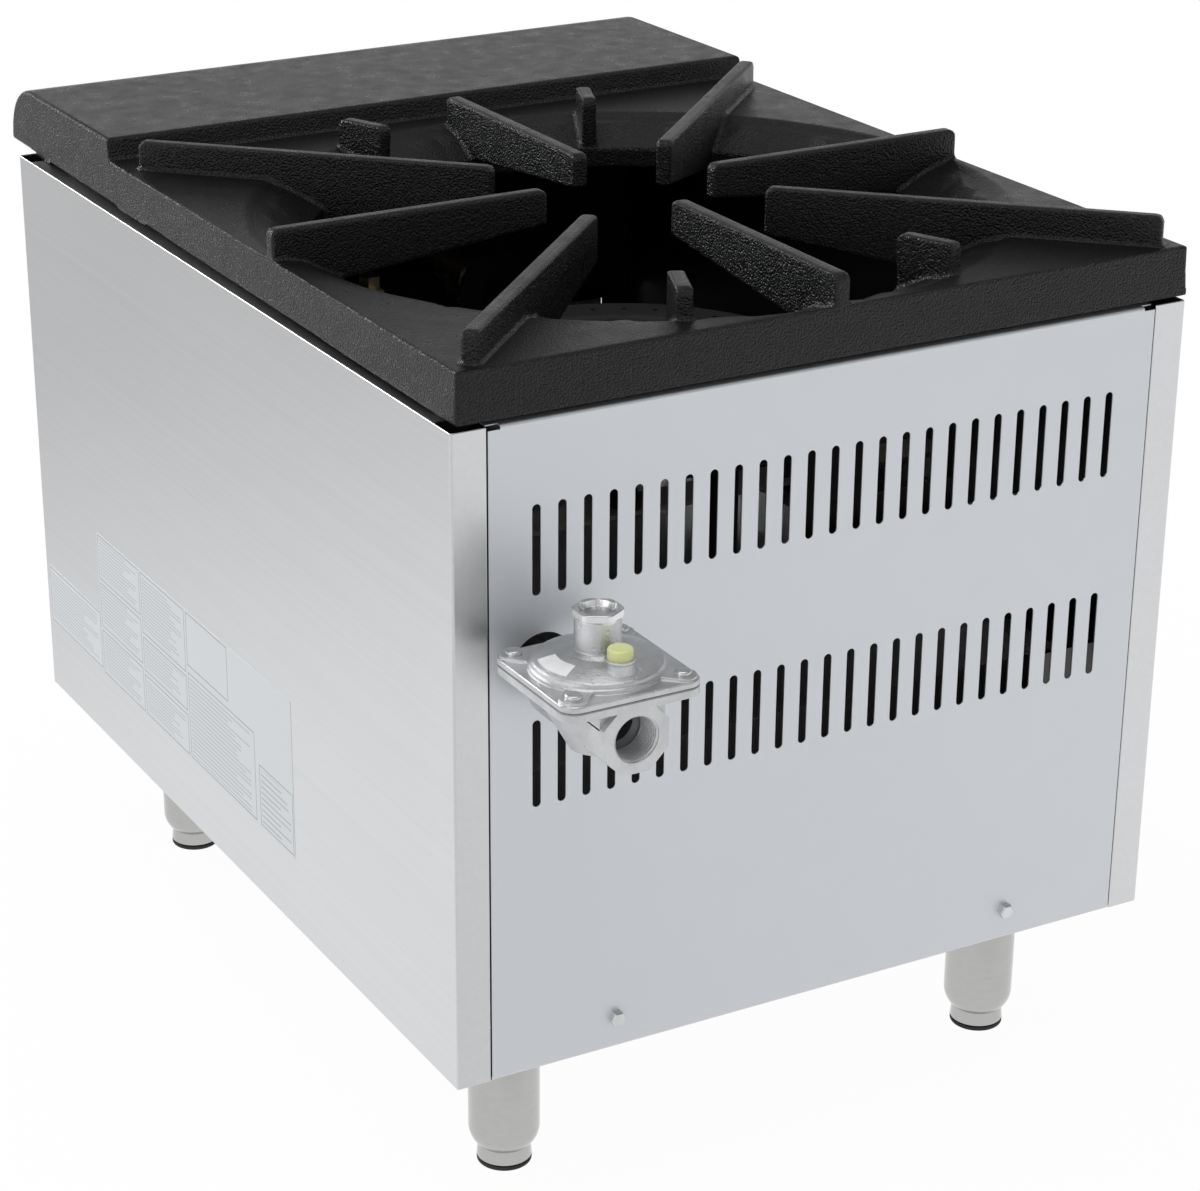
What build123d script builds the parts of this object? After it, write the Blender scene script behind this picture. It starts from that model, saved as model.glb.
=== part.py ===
"""Stock pot range: one three-ring open burner under a cast-iron grate top, in a sheet-steel body.

Frame: +Z up, the floor at z = 0, +X to the right of someone standing at the knobs, the knobs
and the drip tray on the -Y side, the gas inlet on the +Y side. All sizes are millimetres.
"""

import os
from math import cos, radians, sin, sqrt, tan

from build123d import *

os.makedirs("parts", exist_ok=True)


def save(part, name):
    """Labels a finished piece and writes it as its own STEP file."""
    part.label = name
    export_step(part, f"parts/{name}.step")


# ------------------------------------------------------------------ driving dimensions: body
body_width = 457.2
body_depth = 615.2
body_height = 374.6
leg_height = 98.0
sheet = 1.2
bend_radius = 1.8
seam_gap = 0.8
fit_gap = 0.3
front_return = 20.5
rear_return = 20.5
top_return = 16.0
bottom_return = 19.0
corner_notch_width = 7.0
corner_notch_height = 2.2
return_foot = 34.0

# rear panel openings
slot_count = 25
slot_pitch = 15.0
slot_length = 50.0
slot_width = 5.0
lower_slots_height = 184.0
upper_slots_height = 304.0
supply_hole_radius = 17.8
supply_hole_rise = 3.2

# front panels
tray_front_foot = 112.0
bezel_to_tray = 15.0
knob_spacing = 140.0
stem_hole_radius = 7.0

# ------------------------------------------------------------------ driving dimensions: legs
leg_side_inset = 63.1
leg_rear_inset = 66.1
leg_front_inset = 93.0
leg_radius = 20.6
leg_wall = 2.0
leg_tube_length = 74.0
leg_shoulder = 12.0
foot_radius = 15.9
foot_neck_radius = 15.2
foot_edge = 1.0
foot_travel = 20.0
foot_stud_radius = 9.5
foot_stud_grip = 26.0
pad_thickness = 3.0
leg_plate = 76.0
leg_plate_thickness = 2.4
leg_plate_corner = 4.5
rail_height = 30.0
rail_sheet = 1.5
leg_bolt_spacing = 54.0
leg_bolt_flats = 10.0
leg_bolt_head = 4.5

# ------------------------------------------------------------------ driving dimensions: cast top
top_inset = 1.6
top_shift = -1.6
top_gap = 2.4
wall_draft = 1.8
deck_height = 28.5
deck_wall = 7.0
rim_wall = 9.0
deck_edge_radius = 2.0
dish_margin = 13.5
dish_rear_margin = 10.1
dish_front_margin = 25.1
dish_slope = 29.5
dish_brow = 8.5
dish_brow_drop = 0.7
dish_brow_radius = 45.0
dish_depth = 13.8
collar_depth = 12.0
finger_count = 8
finger_rise = 17.0
finger_width = 9.6
finger_corner = 4.5
finger_edge = 1.2
finger_root = 3.0
diagonal_tip = 81.0
diagonal_corner_gap = 17.5
straight_tip = 55.0
diagonal_tip_depth = 27.0
straight_tip_depth = 20.0
diagonal_root_drop = 10.0
straight_root_drop = 1.5
front_finger_reach = 8.5
stub_length = 37.0
stub_width = 9.0
stub_angle = 22.5
riser_slope = 3.0
ledge_rise = 12.8
ledge_overhang = 21.0
nose_radius = 33.0
nose_lip = 4.0
foot_pad_size = 26.0
foot_pad_inset = 12.0
lug_from_front = 163.6
lug_length = 43.0
lug_width = 8.0
lug_rise = 1.0

# ------------------------------------------------------------------ driving dimensions: burner
burner_rise = 18.0
ring_tall = 26.0
outer_ring_radius = 112.0
outer_ring_width = 32.0
middle_ring_radius = 66.0
middle_ring_width = 24.0
ring_corner = 5.0
arm_width = 18.0
arm_height = 15.0
outer_ports = 36
middle_ports = 24
inner_ports = 14
port_radius = 1.7
port_depth = 5.0
inner_head_radius = 34.0
inner_head_height = 22.0
inner_port_circle = 25.0
inner_vent_radius = 9.0
neck_radius = 20.0
venturi_radius = 16.0
venturi_wall = 3.5
venturi_mouth_radius = 25.0
venturi_mouth_length = 15.0
mouth_from_front = 92.6
venturi_bend = 40.0
burner_leg_radius = 9.0
shutter_radius = 25.0
shutter_thickness = 1.5
shutter_gap = 0.3
shutter_jet_radius = 9.5
shutter_window_width = 7.0
shutter_window_length = 11.2
shutter_window_circle = 16.5
mixer_face = 2.5
burner_rail_width = 28.0
burner_rail_thickness = 3.0
burner_rail_tab = 24.0
burner_rail_pipe_gap = 2.6

# ------------------------------------------------------------------ driving dimensions: gas line
supply_inset = 52.2
supply_height = 237.0
pipe_radius = 13.35
pipe_wall = 2.8
coupling_radius = 17.5
coupling_length = 38.0
coupling_edge = 1.5
elbow_reach = 33.0
elbow_radius = 17.0
elbow_band = 12.0
elbow_bead = 1.0
elbow_lead = 2.0
manifold_cap_length = 20.0
manifold_cap_end = 3.0
manifold_from_front = 45.6
manifold_end_side = 112.0
valve_rise = 27.0
valve_radius = 11.0
valve_length = 40.0
valve_edge = 2.0
stem_end_gap = 1.0
stem_radius = 4.0
stem_socket_depth = 14.0
stem_running_gap = 0.05
hood_flats = 13.0
hood_length = 18.0
hood_tip_radius = 4.5
hood_tip_length = 5.0
orifice_radius = 1.0
pilot_valve_radius = 7.0
pilot_valve_height = 22.0
pilot_tube_radius = 3.0
pilot_nut_wall = 2.0
pilot_nut_length = 6.0
pilot_tube_bend = 16.0
pilot_tip_side = 38.0
pilot_tip_from_grate = -135.0
pilot_tip_rise = 16.0
pilot_body_wall = 3.0
pilot_body_height = 9.0
pilot_jet_height = 12.0
pilot_strip_width = 10.0

# ------------------------------------------------------------------ driving dimensions: knobs
bezel_radius = 31.0
bezel_thickness = 1.0
knob_gap = 1.0
knob_base_radius = 26.0
knob_base_height = 9.0
knob_length = 34.0
knob_bar_width = 12.0
knob_bar_length = 43.0
knob_bar_draft = 2.0
knob_edge = 3.0
knob_mark_width = 1.6
knob_mark_depth = 1.0

# ------------------------------------------------------------------ driving dimensions: drip tray
tray_floor_height = 121.0
tray_wall_height = 30.0
tray_sheet = 1.0
tray_inset = 42.6
tray_lip = 14.0
tray_rear_gap = 52.5
tray_side_gap = 1.2
pull_reach = 16.0
pull_drop = 10.0
runner_tall = 26.0

# ------------------------------------------------------------------ driving dimensions: regulator
regulator_stand_off = 57.0
regulator_half = 39.5
regulator_corner = 9.0
regulator_ear_inset = 8.6
inlet_face_inset = 0.5
flange_head_rise = 24.0
cover_flange = 3.4
gasket_thickness = 0.8
body_flange = 4.0
disc_radius = 34.6
disc_rise = 2.8
disc_edge = 1.0
dome_rise = 5.5
tower_radius = 13.7
tower_fillet = 3.0
tower_wall = 2.0
tower_height = 13.7
cap_flats = 26.0
cap_height = 10.0
cap_crown_radius = 12.2
cap_slot = 4.0
cap_slot_depth = 2.4
cap_crown_height = 3.0
vent_radius = 8.6
vent_height = 8.0
vent_from_tower = 22.4
plug_radius = 7.3
plug_height = 5.5
plug_edge = 1.0
inlet_flats = 37.2
inlet_bore_radius = 12.9
inlet_bore_depth = 22.0
port_boss_length = 22.0
outlet_boss_radius = 18.6
bowl_radius = 29.0
bowl_depth = 27.0
body_rib = 4.8
screw_head_radius = 4.4
screw_head_height = 2.4
screw_head_edge = 1.2
ear_radius = 8.0
ear_rise = 1.6

# rear screws, flue stiffener
rear_screw_side = 130.5
rear_screw_height = 18.7
rear_screw_radius = 2.2
rear_screw_flats = 8.0
rear_screw_head = 4.0
rear_screw_edge = 0.6
stiffener_width = 44.0
stiffener_foot = 250.0
stiffener_arm = 62.0

# ------------------------------------------------------------------ places worked out from them
front_reach = body_depth / 2 + bezel_thickness + knob_gap + knob_length
rear_reach = body_depth / 2 + regulator_stand_off + regulator_half
body_middle = (front_reach - rear_reach) / 2
front_face = body_middle - body_depth / 2
rear_face = body_middle + body_depth / 2
body_side = body_width / 2
body_foot = leg_height
body_head = leg_height + body_height
side_inner = body_side - sheet
front_inner = front_face + sheet
rear_inner = rear_face - sheet
top_half = body_side - top_inset
dish_radius = top_half - dish_margin
throat_radius = dish_radius - dish_slope
grate_y = rear_face - dish_rear_margin - dish_radius
deck_foot = body_head + top_gap
deck_top = deck_foot + deck_height
finger_top = deck_top + finger_rise
panel_half = body_side - rear_return - seam_gap
supply_side = body_side - supply_inset
supply_z = leg_height + supply_height
knob_z = supply_z + valve_rise
knob_sides = (-knob_spacing / 2, knob_spacing / 2)
manifold_y = front_face + manifold_from_front
mouth_y = front_face + mouth_from_front
burner_foot = knob_z + burner_rise
burner_top = burner_foot + ring_tall
burner_rail_top = supply_z - pipe_radius - burner_rail_pipe_gap
vertical = Axis((0, grate_y, 0), (0, 0, 1))


def along_y(x, y, z):
    """A plane whose normal points to the rear (+Y), with +X across and -Z up its second axis."""
    return Plane(origin=(x, y, z), x_dir=(1, 0, 0), z_dir=(0, 1, 0))


# ------------------------------------------------------------------ side panels
with BuildPart() as side_panel_right:
    with BuildSketch(Plane.XY.offset(body_foot)):
        with BuildLine():
            FilletPolyline(
                (body_side - front_return, front_face),
                (body_side, front_face),
                (body_side, rear_face),
                (body_side - rear_return, rear_face),
                radius=bend_radius,
            )
            offset(amount=sheet, side=Side.LEFT)
        make_face()
    extrude(amount=body_height)
    for level, reach in ((body_head - sheet, top_return), (body_foot, bottom_return)):
        with BuildSketch(Plane.XY.offset(level)):
            with Locations((side_inner, body_middle)):
                Rectangle(reach, body_depth - 2 * front_return, align=(Align.MAX, Align.CENTER))
        extrude(amount=sheet)
save(side_panel_right.part, "side_panel_right")

with BuildPart() as side_panel_left:
    mirror(side_panel_right.part, about=Plane.YZ)
save(side_panel_left.part, "side_panel_left")

# ------------------------------------------------------------------ rear panel
supply_hole_z = supply_z + supply_hole_rise
with BuildPart() as rear_panel:
    with BuildSketch(Plane.YZ.offset(-panel_half)):
        with BuildLine():
            FilletPolyline(
                (rear_face - top_return, body_head),
                (rear_face, body_head),
                (rear_face, body_foot),
                (rear_face - bottom_return, body_foot),
                radius=bend_radius,
            )
            offset(amount=sheet, side=Side.RIGHT)
        make_face()
    extrude(amount=2 * panel_half)
    for side in (-1, 1):
        edge = side * (panel_half - sheet / 2)
        with Locations((edge, rear_inner - bottom_return / 2, (return_foot + body_height) / 2 + body_foot)):
            Box(sheet, bottom_return, body_height - return_foot - 2 * bend_radius)
        with Locations((side * (panel_half - corner_notch_width / 2), rear_face, body_head)):
            Box(corner_notch_width, 4 * bend_radius, 2 * corner_notch_height, mode=Mode.SUBTRACT)
    with BuildSketch(along_y(0, rear_inner - 1, 0)):
        for height in (lower_slots_height, upper_slots_height):
            with Locations((0, -(body_foot + height))):
                with GridLocations(slot_pitch, 0, slot_count, 1):
                    SlotOverall(slot_length, slot_width, rotation=90)
        with Locations((supply_side, -supply_hole_z)):
            Circle(supply_hole_radius)
        with Locations((0, -(body_foot + rear_screw_height))):
            with GridLocations(2 * rear_screw_side, 0, 2, 1):
                Circle(rear_screw_radius + fit_gap)
    extrude(amount=sheet + 2, mode=Mode.SUBTRACT)
save(rear_panel.part, "rear_panel")

# ------------------------------------------------------------------ rear stiffener, behind the upper slots
stiffener_face = rear_inner - slot_width
stiffener_base = body_foot + stiffener_foot
with BuildPart() as rear_stiffener:
    with BuildSketch(Plane.XZ.offset(-stiffener_face)):
        with BuildLine():
            Polyline(
                (-stiffener_width / 2, body_head - 3 * sheet),
                (stiffener_width / 2, body_head - 3 * sheet),
                (stiffener_width / 2, stiffener_base),
                (-stiffener_width / 2 - stiffener_arm, stiffener_base),
                (-stiffener_width / 2 - stiffener_arm, stiffener_base + stiffener_width),
                (-stiffener_width / 2, stiffener_base + stiffener_width),
                close=True,
            )
        make_face()
        with Locations((-stiffener_width / 2 - stiffener_arm / 2, stiffener_base + stiffener_width / 2)):
            Circle(slot_width, mode=Mode.SUBTRACT)
    extrude(amount=sheet)
    with Locations((0, stiffener_face + (rear_inner - stiffener_face) / 2, body_head - 3.5 * sheet)):
        Box(stiffener_width, rear_inner - stiffener_face, sheet)
save(rear_stiffener.part, "rear_stiffener")

# ------------------------------------------------------------------ base rails, which carry the legs
leg_side = body_side - leg_side_inset
front_leg_y = front_face + leg_front_inset
rear_leg_y = rear_face - leg_rear_inset
leg_places = {
    "front_left": (-leg_side, front_leg_y),
    "front_right": (leg_side, front_leg_y),
    "rear_left": (-leg_side, rear_leg_y),
    "rear_right": (leg_side, rear_leg_y),
}
rail_foot = body_foot + sheet
rail_half = side_inner - bend_radius
rails = {
    "base_rail_front": (front_inner + fit_gap, front_leg_y + leg_plate / 2 + rail_sheet),
    "base_rail_rear": (rear_leg_y - leg_plate / 2 - rail_sheet, rear_inner - fit_gap),
}
for rail_name, (rail_start, rail_end) in rails.items():
    with BuildPart() as base_rail:
        with BuildSketch(Plane.YZ.offset(-rail_half)):
            with BuildLine():
                FilletPolyline(
                    (rail_start, rail_foot + rail_height),
                    (rail_start, rail_foot),
                    (rail_end, rail_foot),
                    (rail_end, rail_foot + rail_height),
                    radius=bend_radius,
                )
                offset(amount=rail_sheet, side=Side.LEFT)
            make_face()
        extrude(amount=2 * rail_half)
        with BuildSketch(Plane.XY.offset(rail_foot)):
            for place in leg_places.values():
                with Locations(place):
                    with GridLocations(leg_bolt_spacing, leg_bolt_spacing, 2, 2):
                        Circle(rear_screw_radius + fit_gap)
        extrude(amount=rail_sheet, mode=Mode.SUBTRACT)
        with BuildSketch(along_y(0, rail_end - rail_sheet, body_foot + rear_screw_height)):
            with GridLocations(2 * rear_screw_side, 0, 2, 1):
                Circle(rear_screw_radius + fit_gap)
        extrude(amount=rail_sheet, mode=Mode.SUBTRACT)
    save(base_rail.part, rail_name)

# ------------------------------------------------------------------ legs, with their feet and pads
tube_foot = leg_height - leg_tube_length
shoulder_foot = tube_foot - leg_shoulder
for corner, place in leg_places.items():
    with BuildPart() as leg:
        with BuildSketch(Plane.XZ.offset(-place[1])):
            with BuildLine():
                tube_edge = Polyline(
                    (place[0] + foot_neck_radius, shoulder_foot),
                    (place[0] + foot_stud_radius + fit_gap, shoulder_foot),
                    (place[0] + foot_stud_radius + fit_gap, tube_foot + leg_shoulder),
                    (place[0] + leg_radius - leg_wall, tube_foot + leg_shoulder),
                    (place[0] + leg_radius - leg_wall, rail_foot - leg_plate_thickness),
                    (place[0] + leg_radius, rail_foot - leg_plate_thickness),
                    (place[0] + leg_radius, tube_foot),
                )
                TangentArc(tube_edge @ 1, tube_edge @ 0, tangent=(0, -1))
            make_face()
        revolve(axis=Axis((place[0], place[1], 0), (0, 0, 1)))
        with BuildSketch(Plane.XY.offset(rail_foot - leg_plate_thickness)):
            with Locations(place):
                RectangleRounded(leg_plate, leg_plate, leg_plate_corner)
                with GridLocations(leg_bolt_spacing, leg_bolt_spacing, 2, 2):
                    Circle(rear_screw_radius + fit_gap, mode=Mode.SUBTRACT)
        extrude(amount=leg_plate_thickness)
    save(leg.part, f"leg_{corner}")

    with BuildPart() as foot:
        with BuildSketch(Plane.XZ.offset(-place[1])):
            with BuildLine():
                Polyline(
                    (place[0], pad_thickness),
                    (place[0] + foot_radius - foot_edge, pad_thickness),
                    (place[0] + foot_radius, pad_thickness + foot_edge),
                    (place[0] + foot_neck_radius, shoulder_foot),
                    (place[0] + foot_stud_radius, shoulder_foot),
                    (place[0] + foot_stud_radius, shoulder_foot + foot_travel + foot_stud_grip),
                    (place[0], shoulder_foot + foot_travel + foot_stud_grip),
                    close=True,
                )
            make_face()
        revolve(axis=Axis((place[0], place[1], 0), (0, 0, 1)))
    save(foot.part, f"foot_{corner}")

    with BuildPart() as foot_pad:
        with BuildSketch(Plane.XY):
            with Locations(place):
                Circle(foot_radius)
        extrude(amount=pad_thickness)
        fillet(foot_pad.edges().sort_by(Axis.Z)[:1], pad_thickness / 2)
    save(foot_pad.part, f"foot_pad_{corner}")

with BuildPart() as leg_bolts:
    for place in leg_places.values():
        with BuildSketch(Plane.XY.offset(rail_foot - leg_plate_thickness)):
            with Locations(place):
                with GridLocations(leg_bolt_spacing, leg_bolt_spacing, 2, 2):
                    Circle(rear_screw_radius)
        extrude(amount=leg_plate_thickness + rail_sheet)
        with BuildSketch(Plane.XY.offset(rail_foot + rail_sheet)):
            with Locations(place):
                with GridLocations(leg_bolt_spacing, leg_bolt_spacing, 2, 2):
                    RegularPolygon(leg_bolt_flats / 2, 6, major_radius=False)
        extrude(amount=leg_bolt_head)
save(leg_bolts.part, "leg_bolts")

with BuildPart() as rear_screws:
    with BuildSketch(along_y(0, rear_inner - fit_gap - rail_sheet, body_foot + rear_screw_height)):
        with GridLocations(2 * rear_screw_side, 0, 2, 1):
            Circle(rear_screw_radius)
    extrude(amount=rail_sheet + fit_gap + sheet)
    with BuildSketch(along_y(0, rear_face, body_foot + rear_screw_height)):
        with GridLocations(2 * rear_screw_side, 0, 2, 1):
            RegularPolygon(rear_screw_flats / 2, 6, major_radius=False)
    extrude(amount=rear_screw_head)
    chamfer(rear_screws.faces().sort_by(Axis.Y)[-2:].edges(), rear_screw_edge)
save(rear_screws.part, "rear_screws")

# ------------------------------------------------------------------ front panels
tray_front_bottom = body_foot + tray_front_foot
tray_front_top = knob_z - bezel_radius - bezel_to_tray
front_panels = {
    "lower_front_panel": (body_foot, tray_front_bottom - tray_side_gap),
    "control_panel": (tray_front_top + tray_side_gap, body_head),
}
for panel_name, (panel_bottom, panel_top) in front_panels.items():
    with BuildPart() as front_panel:
        with BuildSketch(Plane.YZ.offset(-panel_half)):
            with BuildLine():
                FilletPolyline(
                    (front_face + top_return, panel_top),
                    (front_face, panel_top),
                    (front_face, panel_bottom),
                    (front_face + bottom_return, panel_bottom),
                    radius=bend_radius,
                )
                offset(amount=sheet, side=Side.LEFT)
            make_face()
        extrude(amount=2 * panel_half)
        if panel_name == "control_panel":
            with BuildSketch(along_y(0, front_face - 1, knob_z)):
                with GridLocations(knob_spacing, 0, 2, 1):
                    Circle(stem_hole_radius)
            extrude(amount=sheet + 2, mode=Mode.SUBTRACT)
    save(front_panel.part, panel_name)

# ------------------------------------------------------------------ cast top: deck, dish, fingers and ledge
step_y = grate_y - dish_radius - dish_front_margin
wall_lean = deck_height * tan(radians(wall_draft))
diagonal_end = top_half * sqrt(2) - diagonal_corner_gap
side_end = top_half - wall_lean
straight_ends = {
    0: side_end,
    2: rear_face - grate_y - wall_lean,
    4: side_end,
    6: dish_radius + front_finger_reach,
}
ledge_top = deck_top + ledge_rise
nose_front = front_face - ledge_overhang
grate_plane = Plane(origin=(0, grate_y, 0), x_dir=(1, 0, 0), z_dir=(0, -1, 0))


def ray_plane(angle):
    """A vertical plane through the middle of the grate: across it is outward at an angle, up is +Z."""
    outward = (cos(radians(angle)), sin(radians(angle)), 0)
    return Plane(origin=(0, grate_y, 0), x_dir=outward, z_dir=(outward[1], -outward[0], 0))


def finger_solid(angle, tip, end, tip_depth, root_drop):
    """A grate finger: an upright blade with rounded top corners, rooted in the collar of the dish."""
    with BuildPart() as finger:
        with BuildSketch(ray_plane(angle)) as side:
            with BuildLine():
                Polyline(
                    (tip, finger_top),
                    (end, finger_top),
                    (end, deck_top - deck_edge_radius / 2),
                    (dish_radius, deck_top - finger_root),
                    (throat_radius + finger_edge, deck_top - dish_depth - finger_edge),
                    (throat_radius + finger_edge, deck_top - dish_depth - root_drop),
                    (tip, finger_top - tip_depth),
                    close=True,
                )
            make_face()
            fillet(side.vertices().group_by(Axis.Y)[-1], finger_corner)
        extrude(amount=finger_width / 2, both=True)
        top_edges = finger.faces().sort_by(Axis.Z)[-1].edges().filter_by(GeomType.LINE)
        long_edges = top_edges.sort_by(SortBy.LENGTH)[-2:]
        chamfer(long_edges, finger_edge)
    return finger.part


with BuildPart() as cast_top:
    with BuildSketch(Plane.YZ.offset(-top_half)):
        with BuildLine() as outline:
            nose_top = (nose_front + nose_radius, ledge_top)
            Line((rear_face, deck_foot), (rear_face, deck_top))
            Line((rear_face, deck_top), (step_y, deck_top))
            Line((step_y, deck_top), (step_y - riser_slope, ledge_top))
            Line((step_y - riser_slope, ledge_top), nose_top)
            nose = RadiusArc(nose_top, (nose_front, ledge_top - nose_radius), -nose_radius)
            Line(nose @ 1, (nose_front, deck_foot + nose_lip))
            Line((nose_front, deck_foot + nose_lip), (rear_face, deck_foot))
        make_face()
    extrude(amount=2 * top_half)
    deck_end = cast_top.faces().filter_by(Plane.XZ).sort_by(Axis.Y)[-1]
    outer_walls = cast_top.faces().filter_by(Plane.YZ) + ShapeList([deck_end])
    draft(outer_walls, Plane.XY.offset(deck_foot), wall_draft)
    rim = cast_top.faces().filter_by(Plane.XY).sort_by(Axis.Z)[1:3].edges()
    fillet(rim.filter_by(Axis.X).sort_by(Axis.Y)[-1:] + rim.filter_by(Axis.Y), deck_edge_radius)
    # hollow underneath, with a wall all round
    with BuildSketch(Plane.YZ.offset(-top_half + rim_wall)):
        with BuildLine():
            inner_top = (nose_front + nose_radius, ledge_top - deck_wall)
            inner_step = step_y - deck_wall
            Line((rear_face - rim_wall, deck_foot - 1), (rear_face - rim_wall, deck_top - deck_wall))
            Line((rear_face - rim_wall, deck_top - deck_wall), (inner_step, deck_top - deck_wall))
            Line((inner_step, deck_top - deck_wall), (inner_step - riser_slope, ledge_top - deck_wall))
            Line((inner_step - riser_slope, ledge_top - deck_wall), inner_top)
            inner = RadiusArc(
                inner_top,
                (nose_front + deck_wall, ledge_top - nose_radius),
                -(nose_radius - deck_wall),
            )
            Line(inner @ 1, (nose_front + deck_wall, deck_foot - 1))
            Line((nose_front + deck_wall, deck_foot - 1), (rear_face - rim_wall, deck_foot - 1))
        make_face()
    extrude(amount=2 * (top_half - rim_wall), mode=Mode.SUBTRACT)
    # the dish and its collar, kept inside the side walls
    with BuildSketch(grate_plane):
        with BuildLine():
            Polyline(
                (0, deck_top - 1),
                (dish_radius, deck_top - 1),
                (dish_radius, deck_top - deck_wall),
                (throat_radius + deck_wall, deck_top - dish_depth - deck_wall),
                (throat_radius + deck_wall, deck_top - dish_depth - collar_depth),
                (0, deck_top - dish_depth - collar_depth),
                close=True,
            )
        make_face()
    revolve(axis=vertical)
    with BuildSketch(grate_plane) as dish:
        with BuildLine():
            Polyline(
                (0, deck_top + 1),
                (dish_radius + dish_brow, deck_top + 1),
                (dish_radius + dish_brow, deck_top),
                (dish_radius, deck_top - dish_brow_drop),
                (throat_radius, deck_top - dish_depth),
                (throat_radius, deck_foot - 1),
                (0, deck_foot - 1),
                close=True,
            )
        make_face()
        brow = dish.vertices().group_by(Axis.Y)[-3]
        fillet(brow, dish_brow_radius)
    revolve(axis=vertical, mode=Mode.SUBTRACT)
    # four feet that stand on the body
    with BuildSketch(Plane.XY.offset(body_head)):
        with Locations((0, body_middle)):
            with GridLocations(
                2 * (top_half - foot_pad_inset),
                body_depth - 2 * foot_pad_inset - 2 * rim_wall,
                2,
                2,
            ):
                Rectangle(foot_pad_size / 2, foot_pad_size)
    extrude(amount=deck_wall + top_gap)
    # a low lug under each side wall, level with its outer face
    with BuildSketch(Plane.XY.offset(deck_foot + lug_rise)):
        with Locations((0, front_face + lug_from_front + lug_length / 2)):
            with GridLocations(2 * (top_half - fit_gap) - lug_width, 0, 2, 1):
                Rectangle(lug_width, lug_length)
    extrude(amount=deck_wall)

# the fingers and stubs are cast in one with the deck, and stand on it as solids of their own
with BuildPart() as grate_fingers:
    for number in range(finger_count):
        angle = number * 360 / finger_count
        if number % 2:
            blade = finger_solid(angle, diagonal_tip, diagonal_end, diagonal_tip_depth, diagonal_root_drop)
        else:
            end = straight_ends[number]
            blade = finger_solid(angle, straight_tip, end, straight_tip_depth, straight_root_drop)
        add(blade)
    # four short stubs, either side of the front and rear fingers
    for across in (90 - stub_angle, 90 + stub_angle, 270 - stub_angle, 270 + stub_angle):
        with BuildSketch(ray_plane(across)) as stub_side:
            with BuildLine():
                Polyline(
                    (throat_radius + finger_edge, finger_top),
                    (throat_radius + stub_length, finger_top),
                    (throat_radius + stub_length, deck_top - finger_root),
                    (throat_radius + deck_wall, deck_top - dish_depth - finger_root),
                    (throat_radius + finger_edge, deck_top - dish_depth - finger_root),
                    close=True,
                )
            make_face()
            fillet(stub_side.vertices().group_by(Axis.Y)[-1], finger_corner)
        extrude(amount=stub_width / 2, both=True)
    add(cast_top.part, mode=Mode.SUBTRACT)

# the casting lies loose on the body, a little towards its left side
save(cast_top.part.moved(Location((top_shift, 0, 0))), "cast_top")
save(grate_fingers.part.moved(Location((top_shift, 0, 0))), "grate_fingers")

# ------------------------------------------------------------------ burner rails, wall to wall
rail_places = {
    "burner_rail_front": grate_y - outer_ring_radius,
    "burner_rail_middle": grate_y,
    "burner_rail_rear": grate_y + outer_ring_radius,
}
for rail_name, rail_y in rail_places.items():
    with BuildPart() as burner_rail:
        with BuildSketch(Plane.XZ.offset(-rail_y)):
            with BuildLine():
                Polyline(
                    (-side_inner, burner_rail_top - burner_rail_tab),
                    (-side_inner, burner_rail_top),
                    (side_inner, burner_rail_top),
                    (side_inner, burner_rail_top - burner_rail_tab),
                )
                offset(amount=burner_rail_thickness, side=Side.RIGHT)
            make_face()
        extrude(amount=burner_rail_width / 2, both=True)
    save(burner_rail.part, rail_name)

# ------------------------------------------------------------------ burners
def mixer_disc(x, y):
    """A disc with a hole for the gas jet and four air windows: a mixer's face, or its shutter."""
    with BuildSketch(along_y(x, y, knob_z)) as disc:
        Circle(shutter_radius)
        Circle(shutter_jet_radius, mode=Mode.SUBTRACT)
        with PolarLocations(shutter_window_circle, 4):
            SlotOverall(shutter_window_length, shutter_window_width, rotation=90, mode=Mode.SUBTRACT)
    return disc.sketch


ring_middle = burner_foot + ring_tall / 2
inner_venturi_x, outer_venturi_x = knob_sides
riser_y = grate_y - sqrt(outer_ring_radius**2 - outer_venturi_x**2)
venturi_foot = knob_z - venturi_radius


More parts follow.
